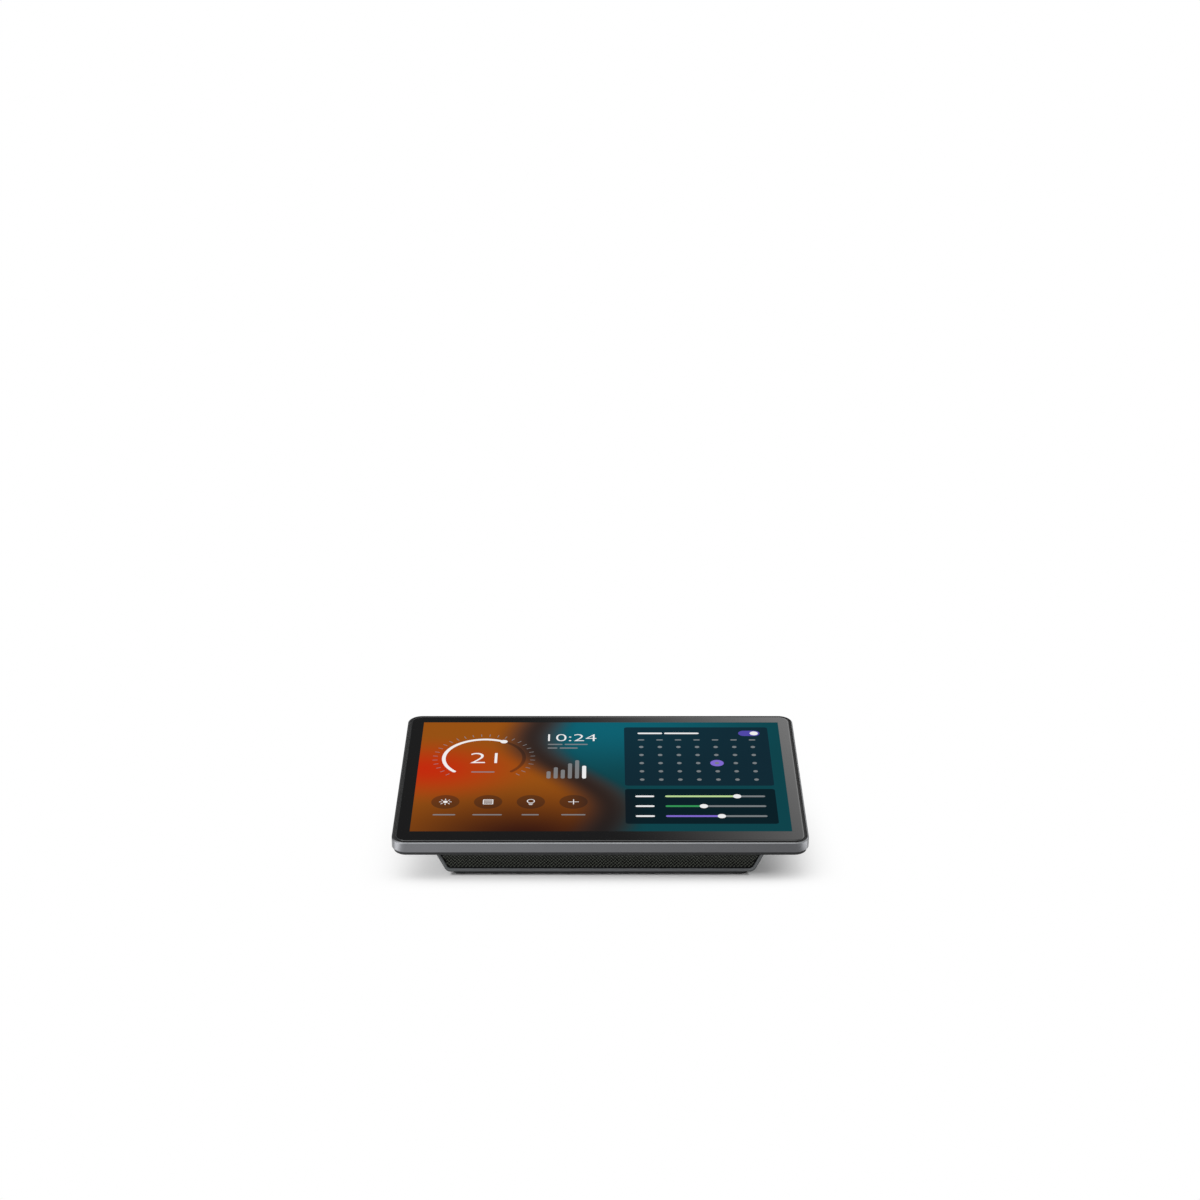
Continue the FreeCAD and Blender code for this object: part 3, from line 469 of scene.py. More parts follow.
FINISHES = (
    # The frame's top chamfer is painted a lighter grey: a painted highlight on the chamfer.
    MarkedFinish("frame_metal", srgb(114, 115, 118), 0.34, 1.0, Texture.BLASTED, 0.18 * MM, 0.004 * MM,
                 0.05, mark="cut_edge", marked_colour=srgb(134, 136, 138)),
    # The glass's rounded edge is painted a lighter grey where it faces upward: a painted highlight on the
    # edge.
    MarkedFinish("cover_glass", srgb(9, 9, 10), 0.05, texture=Texture.SMOOTH, mottle=0.05,
                 mark="ground_edge", marked_colour=srgb(48, 50, 51)),
    Finish("gasket_rubber", srgb(14, 14, 14), 0.78),
    glazed("sensor_glass", srgb(150, 156, 160), 0.08),
    glazed("display_glass", srgb(40, 46, 52), 0.12),
    glazed("light_guide", srgb(226, 228, 230), 0.15, 0.03),
    metal("tray_steel", srgb(160, 162, 164), 0.38, 0.2, 0.003),
    Finish("dark_plastic", srgb(36, 37, 38), 0.62, specular=0.3),
    # A paler copy of the dark plastic for the port panel: painted fill light against the shade in the bay.
    Finish("bay_plastic", srgb(66, 68, 70), 0.55),
    Finish("base_plastic", srgb(97, 100, 102), 0.46, grain=0.25 * MM, relief=0.008 * MM, mottle=0.06),
    metal("screw_steel", srgb(176, 176, 172), 0.32, 0.2, 0.002),
    Finish("screw_black", srgb(38, 38, 39), 0.42, 1.0, Texture.BLASTED, 0.2 * MM, 0.004 * MM),
    TrackedFinish("flex_film", srgb(170, 96, 32), 0.28, texture=Texture.SMOOTH,
                  track_colour=srgb(196, 128, 60), track_pitch=0.8 * MM),
    TrackedFinish("antenna_board", srgb(34, 40, 40), 0.35, texture=Texture.SMOOTH,
                  track_colour=srgb(120, 84, 44), track_pitch=2.5 * MM),
    Finish("foot_rubber", srgb(30, 30, 31), 0.82, grain=0.3 * MM, relief=0.02 * MM),
    # The grille's ground between the yarns is near black: partly the dark inside that shows through the
    # weave, partly painted shade in the gaps.
    MarkedFinish("grille_mesh", srgb(6, 6, 6), 0.6, texture=Texture.BLASTED, grain=0.12 * MM,
                 relief=0.006 * MM, specular=0.25, mark="yarn", marked_colour=srgb(84, 88, 80)),
    Finish("speaker_plastic", srgb(24, 24, 25), 0.5),
    metal("magnet_steel", srgb(186, 186, 190), 0.16, 0.2, 0.001),
    Finish("surround_rubber", srgb(30, 30, 30), 0.7),
    Finish("cone_pulp", srgb(46, 46, 46), 0.85, texture=Texture.FIBRED, grain=0.5 * MM,
           relief=0.04 * MM, mottle=0.3),
    metal("ballast_steel", srgb(92, 92, 96), 0.55, 0.4, 0.006, 0.2),
    TrackedFinish("circuit_board", srgb(16, 70, 40), 0.34, texture=Texture.TRACKED, relief=0.006 * MM,
                  track_colour=srgb(40, 110, 62)),
    metal("brass", srgb(196, 164, 92), 0.26, 0.15, 0.002),
    metal("shield_tin", srgb(184, 184, 184), 0.3, 0.3, 0.002),
    Finish("thermal_pad", srgb(120, 134, 152), 0.8, grain=0.4 * MM, relief=0.02 * MM),
    metal("spreader_aluminium", srgb(200, 202, 206), 0.36, 0.3, 0.004),
    Finish("connector_plastic", srgb(30, 30, 32), 0.45, grain=0.2 * MM, relief=0.005 * MM),
    metal("lock_steel", srgb(150, 150, 152), 0.34, 0.25, 0.003),
    metal("gold_contacts", srgb(222, 176, 84), 0.2, 0.15, 0.001, 0.06),
    glazed("light_pipe", srgb(180, 188, 168), 0.2),
    metal("socket_steel", srgb(184, 184, 184), 0.28, 0.2, 0.002),
    Finish("button_plastic", srgb(96, 98, 100), 0.38, grain=0.2 * MM, relief=0.004 * MM),
    lit("lit_backdrop", 1.0),
    lit("lit_dial", 0.5, srgb(16, 14, 14)),
    lit("lit_card", 0.10, srgb(12, 34, 46)),
    lit("lit_card_low", 0.10, srgb(4, 20, 28)),
    lit("lit_white", 0.10, srgb(236, 236, 236)),
    lit("lit_grey", 0.25, srgb(120, 122, 124)),
    lit("lit_violet", 0.05, srgb(128, 104, 206)),
    lit("lit_indigo", 0.03, srgb(80, 70, 166)),
    lit("lit_lime", 0.05, srgb(186, 216, 150)),
    lit("lit_green", 0.05, srgb(52, 150, 84)),
)


class Palette:
    """One material for each finish, made when it is first asked for."""

    def __init__(self, finishes: Iterable[Finish]) -> None:
        """Keeps the finishes by slot."""
        self.finishes = {finish.slot: finish for finish in finishes}
        self.made: dict[str, Material] = {}

    def material(self, slot: str) -> Material:
        """Gives a slot's material.

        Args:
            slot: Name of the finish.

        Returns:
            Its material.
        """
        if slot not in self.made:
            self.made[slot] = self.finishes[slot].material()
        return self.made[slot]


# Meshes


def on_circle(radius: float, angle: float, x: float = 0.0, y: float = 0.0) -> Point:
    """Gives the place at an angle on a circle about a point."""
    return x + radius * math.cos(angle), y + radius * math.sin(angle)


def rounded_outline(half_x: float, y0: float, y1: float, radius: float, steps: int = 24) -> list[Point]:
    """Draws a rectangle with round corners, anticlockwise.

    Args:
        half_x: Half its width.
        y0: Its lower edge.
        y1: Its upper edge.
        radius: Corner radius.
        steps: Pieces of each corner.

    Returns:
        Its points.
    """
    corners = ((1, y0 + radius), (1, y1 - radius), (-1, y1 - radius), (-1, y0 + radius))
    points = []
    for turn, (side, y) in enumerate(corners):
        for i in range(steps + 1):
            angle = math.pi / 2 * (turn - 1 + i / steps)
            points.append(on_circle(radius, angle, side * (half_x - radius), y))
    return points


def softened(corners: Sequence[Point], radius: float, steps: int = 3) -> list[Point]:
    """Rounds the corners of a closed profile a little.

    Args:
        corners: Its corners in order.
        radius: How far the rounding reaches along each side, up to a third of it.
        steps: Pieces of each corner.

    Returns:
        The rounded profile.
    """
    points = []
    for i, corner in enumerate(corners):
        here = Vector(corner)
        before = Vector(corners[i - 1]) - here
        after = Vector(corners[(i + 1) % len(corners)]) - here
        start = here + before.normalized() * min(radius, before.length / 3)
        end = here + after.normalized() * min(radius, after.length / 3)
        for step in range(steps + 1):
            t = step / steps
            points.append(tuple((1 - t) ** 2 * start + 2 * t * (1 - t) * here + t ** 2 * end))
    return points


def extent(places: Iterable[Vector]) -> tuple[Vector, Vector]:
    """Finds the lowest and the highest corner of the box round some places."""
    columns = list(zip(*places))
    return Vector([min(column) for column in columns]), Vector([max(column) for column in columns])


def added(name: str, data: bpy.types.ID) -> Object:
    """Adds an object to the scene.

    Args:
        name: Its name.
        data: Its mesh, curve, lamp or camera.

    Returns:
        The object.
    """
    made = bpy.data.objects.new(name, data)
    bpy.context.scene.collection.objects.link(made)
    return made


def evaluated(holder: Object) -> Mesh:
    """Takes the mesh that an object's modifiers or letters make, and removes the object.

    Args:
        holder: The object.

    Returns:
        The plain mesh.
    """
    graph = bpy.context.evaluated_depsgraph_get()
    mesh = bpy.data.meshes.new_from_object(holder.evaluated_get(graph))
    holder.modifiers.clear()
    bpy.data.objects.remove(holder)
    return mesh


def shaded_mesh(made: BMesh, name: str) -> Mesh:
    """Turns an edit mesh into a mesh with crisp edges whose flat faces stay flat next to small roundings.

    Args:
        made: The edit mesh, which is freed.
        name: Name of the mesh.

    Returns:
        The mesh, its normals weighed by the areas of the faces.
    """
    mesh = bpy.data.meshes.new(name)
    made.to_mesh(mesh)
    made.free()
    mesh.shade_smooth()
    mesh.set_sharp_from_angle(angle=SHARP_ANGLE)
    holder = added(name, mesh)
    holder.modifiers.new("weights", "WEIGHTED_NORMAL").keep_sharp = True
    return evaluated(holder)


def closed_mesh(made: BMesh, name: str) -> Mesh:
    """Turns a closed edit mesh, which is freed, into a mesh with outward faces and crisp edges."""
    bmesh.ops.recalc_face_normals(made, faces=made.faces)
    return shaded_mesh(made, name)


def skin(made: BMesh, rings: Sequence[Sequence[Place]], looped: bool = False) -> BMesh:
    """Skins a row of rings that have the same number of points.

    Args:
        made: Edit mesh that takes the faces.
        rings: The rings, each a list of places.
        looped: True where the last ring joins the first, so that nothing needs a cap.

    Returns:
        The edit mesh.
    """
    rows = [[made.verts.new(place) for place in ring] for ring in rings]
    following = rows[1:] + rows[:1] if looped else rows[1:]
    if not looped:
        made.faces.new(rows[0])
        made.faces.new(rows[-1])
    for low, high in zip(rows, following):
        for i in range(len(low)):
            j = (i + 1) % len(low)
            made.faces.new((low[i], low[j], high[j], high[i]))
    return made


def ring_mesh(name: str, rings: Sequence[Sequence[Place]], looped: bool = False) -> Mesh:
    """Makes the closed mesh that a skin over some rings encloses."""
    return closed_mesh(skin(bmesh.new(), rings, looped), name)


def welded(mesh: Mesh) -> BMesh:
    """Copies a mesh into an edit mesh whose touching points are one and whose faces all have an area.

    Args:
        mesh: The mesh.

    Returns:
        The edit mesh.
    """
    made = bmesh.new()
    made.from_mesh(mesh)
    bmesh.ops.remove_doubles(made, verts=made.verts, dist=WELD_DISTANCE)
    bmesh.ops.dissolve_degenerate(made, edges=made.edges, dist=WELD_DISTANCE)
    return made


def copied_mesh(node: str) -> Mesh:
    """Copies a CAD node's mesh, welds its triangles and smooths its round faces."""
    return shaded_mesh(welded(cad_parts[node].data), node)


def mark_faces(mesh: Mesh, name: str, test: Callable[[MeshPolygon], bool]) -> None:
    """Stores an attribute that is 1 on some faces and 0 on the others.

    Args:
        mesh: The mesh.
        name: Name of the attribute.
        test: Tells whether a face is marked.
    """
    mark = mesh.attributes.new(name, "FLOAT", "FACE")
    for face in mesh.polygons:
        mark.data[face.index].value = float(test(face))


def islands(node: str, into: Matrix) -> list[tuple[Vector, Vector]]:
    """Finds the separate solids of a CAD node.

    Args:
        node: Name of the node.
        into: Turn into the frame in which the boxes are wanted.

    Returns:
        The lowest and highest corner of each, in that frame.
    """
    made = welded(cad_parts[node].data)
    made.transform(into)
    left = set(made.verts)
    boxes = []
    while left:
        reached = [left.pop()]
        for vertex in reached:
            for edge in vertex.link_edges:
                other = edge.other_vert(vertex)
                if other in left:
                    left.remove(other)
                    reached.append(other)
        boxes.append(extent(vertex.co for vertex in reached))
    made.free()
    return sorted(boxes, key=lambda box: tuple(box[0]))


# Trees of geometry nodes


class NodeModel:
    """A tree of geometry nodes with named inputs, and the plain mesh that it makes."""

    def __init__(self, name: str) -> None:
        """Starts the tree with its geometry input and output.

        Args:
            name: Name of the tree.
        """
        self.tree = bpy.data.node_groups.new(name, "GeometryNodeTree")
        self.sketch = Sketch(self.tree)
        for way in ("INPUT", "OUTPUT"):
            self.tree.interface.new_socket("Geometry", in_out=way, socket_type="NodeSocketGeometry")
        self.start = self.sketch.node("NodeGroupInput", {})
        self.settings: dict[str, object] = {}

    def ask(self, name: str, kind: str, value: object) -> Wire:
        """Adds a named input.

        Args:
            name: Name of the input.
            kind: Float, Int, Material or Object.
            value: What it is set to.

        Returns:
            The output that carries it in the tree.
        """
        socket = self.tree.interface.new_socket(name, in_out="INPUT", socket_type="NodeSocket" + kind)
        self.settings[socket.identifier] = value
        return Wire(self.sketch, self.start.outputs[name])

    def numbers(self, **values: float) -> list[Wire]:
        """Adds a named input for each number.

        Args:
            values: The numbers by name, with underscores for spaces.

        Returns:
            The outputs that carry them in the tree.
        """
        wires = []
        for name, value in values.items():
            kind = "Int" if isinstance(value, int) else "Float"
            wires.append(self.ask(name.replace("_", " ").title(), kind, value))
        return wires

    def node(self, kind: str, **inputs: object) -> Node:
        """Adds a geometry node, with its inputs by name and underscores for spaces."""
        named = {name.replace("_", " "): value for name, value in inputs.items()}
        return self.sketch.node("GeometryNode" + kind, named)

    def vector(self, x: Value = 0.0, y: Value = 0.0, z: Value = 0.0) -> Wire:
        """Adds a vector from its three parts."""
        return self.sketch.wire("ShaderNodeCombineXYZ", 0, {0: x, 1: y, 2: z})

    def mesh(self, last: NodeSocket, finish: Wire, carrier: Mesh) -> Mesh:
        """Ends the tree, runs it once and keeps what it made.

        Args:
            last: Geometry to show.
            finish: Material input.
            carrier: Mesh that the tree starts from.

        Returns:
            The plain mesh.
        """
        realized = self.node("RealizeInstances", Geometry=last)
        dressed = self.node("SetMaterial", Geometry=realized.outputs[0], Material=finish)
        self.sketch.node("NodeGroupOutput", {0: dressed.outputs[0]})
        holder = added(self.tree.name, carrier)
        modifier = holder.modifiers.new(self.tree.name, "NODES")
        modifier.node_group = self.tree
        for identifier, value in self.settings.items():
            modifier[identifier] = value
        return evaluated(holder)


# Assemblies


@dataclass
class Assembly:
    """Something built from named pieces that ride on one body.

    Attributes:
        palette: Materials by slot.
        body: Body that the pieces ride on.
    """

    palette: Palette
    body: str = "console"

    def piece(self, name: str, mesh: Mesh, slot: str, nodes: Sequence[str] = (), body: str = "",
              finish: str = "") -> None:
        """Makes a mesh a piece of the console.

        Args:
            name: Name of the piece.
            mesh: Its mesh, in place.
            slot: Material slot of the record.
            nodes: CAD nodes that it stands for.
            body: Body that it rides on, where it isn't the assembly's.
            finish: Name of the finish, where it isn't the slot's.
        """
        mesh.name = name
        mesh.materials.clear()
        mesh.materials.append(self.palette.material(finish or slot))
        made = added(name, mesh)
        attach(made, body or self.body)
        if nodes:
            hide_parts(*nodes)
        log.info("%s: %d faces, %s", name, len(mesh.polygons), finish or slot)

    def copy(self, name: str, node: str, slot: str, **details: str) -> None:
        """Makes a welded copy of a CAD node a piece, which may have a body or a finish of its own."""
        self.piece(name, copied_mesh(node), slot, [node], **details)

    def dress(self, slots: dict[str, str]) -> None:
        """Gives CAD nodes that stay as they are their materials.

        Args:
            slots: Material slot of the record for each node.
        """
        for node, slot in slots.items():
            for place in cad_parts[node].material_slots:
                place.material = self.palette.material(slot)
            log.info("%s: solid kept, %s", node, slot)


@dataclass
class Head(Assembly):
    """The sloped head: metal frame, cover glass, seal and rear cover."""

    tilt: float = math.radians(15.0)
    width: float = 236.0 * MM
    length: float = 158.35 * MM
    depth: float = 6.95 * MM
    wall: float = 1.1 * MM
    corner_radius: float = 8.5 * MM
    top_chamfer: float = 0.5 * MM
    bottom_chamfer: float = 1.0 * MM
    # Facings, by the Z of a face's normal, of the chamfer faces that take the painted highlight
    chamfer_highlight_facing: Point = (0.4, 0.95)
    glass_thickness: float = 1.1 * MM
    glass_stand: float = 0.25 * MM
    glass_round: float = 0.5 * MM
    # Facings, by the Z of a face's normal, of the glass edge faces that take the painted highlight
    glass_highlight_facing: Point = (0.35, 0.95)
    ledge_reach: float = 5.0 * MM
    ledge_thickness: float = 1.4 * MM
    seal_gap: float = 1.3 * MM
    seal_recess: float = 0.4 * MM
    seal_clearance: float = 0.05 * MM
    # The seal's thin lip over the frame's rim is painted shade: a dark sheet that darkens the rim's flat
    # round the glass.
    lip_reach: float = 0.45 * MM
    lip_thickness: float = 0.06 * MM
    edge_softness: float = 0.14 * MM
    round_steps: int = 5

    @property
    def glass_top(self) -> float:
        """Height of the glass, which stands a little proud of the frame."""
        return self.depth + self.glass_stand

    @property
    def seat(self) -> float:
        """Height of the ledge that carries the glass."""
        return self.glass_top - self.glass_thickness

    def place(self) -> Matrix:
        """Finds the head's own frame: X across, Y up the slope, Z out of the screen.

        Returns:
            The turn from that frame into the console's.
        """
        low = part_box("mid_frame")[0]
        y = low.y + (self.depth - self.top_chamfer) * math.sin(self.tilt)
        z = low.z - self.bottom_chamfer * math.sin(self.tilt)
        return Matrix.Translation((0, y, z)) @ Matrix.Rotation(self.tilt, 4, "X")

    def ring(self, inset: float, height: float) -> list[Place]:
        """Draws the head's outline, drawn in by an inset, at a height."""
        lower, upper, corner = inset, self.length - inset, self.corner_radius - inset
        return [(x, y, height) for x, y in rounded_outline(self.width / 2 - inset, lower, upper, corner)]

    def frame_mesh(self) -> Mesh:
        """Sweeps the frame's section round the head and marks its top chamfer, which takes a painted
        highlight.

        Returns:
            The mesh, in the head's frame.
        """
        ledge = self.seat - self.ledge_thickness
        shoulder = self.depth - self.top_chamfer
        section = [
            (self.bottom_chamfer, 0), (0, self.bottom_chamfer), (0, shoulder), (self.top_chamfer, self.depth),
            (self.wall, self.depth), (self.wall, self.seat), (self.ledge_reach, self.seat),
            (self.ledge_reach, ledge), (self.wall, ledge), (self.wall, 0),
        ]
        rings = [self.ring(*corner) for corner in softened(section, self.edge_softness)]
        mesh = ring_mesh("head_frame", rings, looped=True)
        least, most = self.chamfer_highlight_facing
        mark_faces(mesh, "cut_edge", lambda face: face.center.z > shoulder and least < face.normal.z < most)
        return mesh

    def glass_mesh(self) -> Mesh:
        """Builds the cover glass with its rounded upper edge, whose upward faces are marked for a painted
        highlight.

        Returns:
            The mesh, in the head's frame.
        """
        inset = self.wall + self.seal_gap
        rings = [self.ring(inset, self.seat)]
        for step in range(self.round_steps + 1):
            angle = math.pi / 2 * step / self.round_steps
            drawn_in = inset + self.glass_round * (1 - math.cos(angle))
            rings.append(self.ring(drawn_in, self.glass_top - self.glass_round * (1 - math.sin(angle))))
        rings.append(self.ring(inset + 2 * self.glass_round, self.glass_top))
        mesh = ring_mesh("cover_plate", rings)
        least, most = self.glass_highlight_facing
        mark_faces(mesh, "ground_edge", lambda face: least < face.normal.z < most)
        return mesh

    def seal_mesh(self) -> Mesh:
        """Builds the rubber seal in the gap round the glass, with a thin dark lip over the frame's rim that
        darkens the rim's flat as painted shade.

        Returns:
            The mesh, in the head's frame.
        """
        rim, skin_top = self.depth, self.depth + self.lip_thickness
        high = self.depth - self.seal_recess
        outer = self.wall + self.seal_clearance
        fold = outer + self.lip_thickness
        inner = self.wall + self.seal_gap - self.seal_clearance
        edge = self.wall - self.lip_reach
        section = [
            (outer, self.seat), (outer, rim), (edge, rim), (edge, rim + self.lip_thickness / 2),
            (outer, skin_top), (fold, rim), (fold, high), (inner, high), (inner, self.seat),
        ]
        return ring_mesh("glass_seal", [self.ring(*corner) for corner in section], looped=True)

    def build(self) -> None:
        """Makes the head's pieces."""
        shaped = (
            ("head_frame", self.frame_mesh(), "frame_metal", "mid_frame"),
            ("cover_plate", self.glass_mesh(), "cover_glass", "cover_glass"),
            ("glass_seal", self.seal_mesh(), "gasket_rubber", "glass_gasket"),
        )
        for name, mesh, slot, node in shaped:
            mesh.transform(self.place())
            self.piece(name, mesh, slot, [node])
        self.copy("back_cover", "rear_cover", "dark_plastic")


# A bar's corners stop just short of half its side, so that no two of its points meet
BAR_STEPS = 6
FULL_ROUND = 0.999
LEAST_MITRE = 0.5


class Inlay:
    """Flat shapes of the lit picture, collected into one mesh. Places are from the picture's middle."""

    def __init__(self, low: float, high: float) -> None:
        """Starts with no shapes.

        Args:
            low: Height of their lower sides.
            high: Height of their upper sides.
        """
        self.low = low
        self.high = high
        self.made = bmesh.new()

    def area(self, outline: Sequence[Point]) -> None:
        """Adds a solid with this outline."""
        skin(self.made, [[(x, y, z) for x, y in outline] for z in (self.low, self.high)])

    def bar(self, x: float, y: float, width: float, height: float) -> None:
        """Adds a bar with round ends.

        Args:
            x: Its left end.
            y: Its middle height.
            width: Its length.
            height: Its height.
        """
        corner = FULL_ROUND * min(width, height) / 2
        outline = rounded_outline(width / 2, -height / 2, height / 2, corner, BAR_STEPS)
        self.area([(x + width / 2 + px, y + py) for px, py in outline])

    def words(self, x: float, y: float, lengths: Sequence[float], height: float, gap: float) -> None:
        """Adds a row of bars that stand for the words of a line.

        Args:
            x: Where the line starts.
            y: Its middle height.
            lengths: Length of each word.
            height: Height of the bars.
            gap: Space between words.
        """
        for length in lengths:
            self.bar(x, y, length, height)
            x += length + gap

    def disc(self, x: float, y: float, radius: float, steps: int = 32) -> None:
        """Adds a round spot."""
        self.area([on_circle(radius, math.tau * i / steps, x, y) for i in range(steps)])

    def stroke(self, line: Sequence[Point], width: float, steps: int = 6) -> None:
        """Adds an open pen stroke with round ends.

        Args:
            line: Points along its middle.
            width: Its width.
            steps: Pieces of each round end.
        """
        points = [Vector(point) for point in line]
        runs = [(b - a).normalized() for a, b in zip(points, points[1:])]
        ways = [runs[0]] + [(a + b).normalized() for a, b in zip(runs, runs[1:])] + [runs[-1]]
        left, right = [], []
        for i, (point, way) in enumerate(zip(points, ways)):
            fit = max(LEAST_MITRE, way.dot(runs[min(i, len(runs) - 1)]))
            aside = Vector((-way.y, way.x)) * (width / 2 / fit)
            left.append(tuple(point + aside))
            right.append(tuple(point - aside))
        end_cap = self.cap(points[-1], ways[-1], width, steps)
        start_cap = self.cap(points[0], -ways[0], width, steps)
        self.area(right + end_cap + left[::-1] + start_cap)

    def cap(self, end: Vector, way: Vector, width: float, steps: int) -> list[Point]:
        """Draws the round end of a stroke, from its right side to its left."""
        start = math.atan2(way.y, way.x) - math.pi / 2
        return [on_circle(width / 2, start + math.pi * i / steps, end.x, end.y) for i in range(1, steps)]

    def loop(self, outline: Sequence[Point], x: float, y: float, width: float) -> None:
        """Adds a closed pen stroke just inside an outline that goes round (0, 0).

        Args:
            outline: The outline, anticlockwise.
            x: Place of its middle.
            y: Place of its middle.
            width: Width of the stroke.
        """
        outer, inner = [], []
        for i, (px, py) in enumerate(outline):
            way = (Vector(outline[(i + 1) % len(outline)]) - Vector(outline[i - 1])).normalized()
            outer.append((x + px, y + py))
            inner.append((x + px - way.y * width, y + py + way.x * width))
        levels = ((outer, self.low), (outer, self.high), (inner, self.high), (inner, self.low))
        skin(self.made, [[(px, py, z) for px, py in line] for line, z in levels], looped=True)


@dataclass(frozen=True)
class Sign:
    """A plain sign for a round button, in shares of its size.

    Attributes:
        lines: Straight strokes, each from end to end.
        dot: Radius of a spot in the middle, where there is one.
        square: Half width and corner radius of a rounded square, where there is one.
        lift: Height of the square's middle.
        steps: Pieces of each corner of the square.
    """

    lines: tuple[tuple[Point, Point], ...]
    dot: float = 0.0
    square: Point = (0.0, 0.0)
    lift: float = 0.0
    steps: int = 5

    def draw(self, shapes: Inlay, x: float, y: float, unit: float, pen: float) -> None:
        """Adds the sign to a set of shapes.

        Args:
            shapes: The shapes.
            x: Place of its middle.
            y: Place of its middle.
            unit: Its size.
            pen: Width of its strokes.
        """
        half, corner = (share * unit for share in self.square)
        if self.dot:
            shapes.disc(x, y, self.dot * unit)
        if half:
            outline = rounded_outline(half, -half, half, corner, self.steps)
            shapes.loop(outline, x, y + self.lift * unit, pen)
        for ends in self.lines:
            shapes.stroke([(x + px * unit, y + py * unit) for px, py in ends], pen)


RAYS = tuple(math.tau * i / 8 for i in range(8))
SUN = Sign(tuple((on_circle(0.66, ray), on_circle(0.98, ray)) for ray in RAYS), dot=0.4)
BLIND = Sign(tuple(((-0.6, rise), (0.6, rise)) for rise in (-0.4, 0.0, 0.4)), square=(0.85, 0.15))
BULB = Sign((((-0.34, -0.66), (0.34, -0.66)), ((-0.22, -0.95), (0.22, -0.95))), square=(0.66, 0.65),
            lift=0.25, steps=8)
PLUS = Sign((((-0.8, 0.0), (0.8, 0.0)), ((0.0, -0.8), (0.0, 0.8))))


@dataclass(frozen=True)
class SpotGrid:
    """A grid of round spots on the picture.

    Attributes:
        across: Places of the first and last column, as shares of the picture's width.
        down: Places of the first and last row, as shares of its height.
        columns: Number of columns.
        rows: Number of rows.
        radius: Radius of a spot.
    """

    across: Point
    down: Point
    columns: int
    rows: int
    radius: float

    def u(self, column: int) -> float:
        """Place of a column."""
        return self.across[0] + (self.across[1] - self.across[0]) * column / (self.columns - 1)

    def v(self, row: int) -> float:
        """Place of a row."""
        return self.down[0] + (self.down[1] - self.down[0]) * row / max(1, self.rows - 1)


class Layer(IntEnum):
    """How high a shape of the picture lies above the glass, in steps."""

    GROUND = 1
    CARD = 2
    PRINT = 3
    MARK = 4
    KNOB = 5


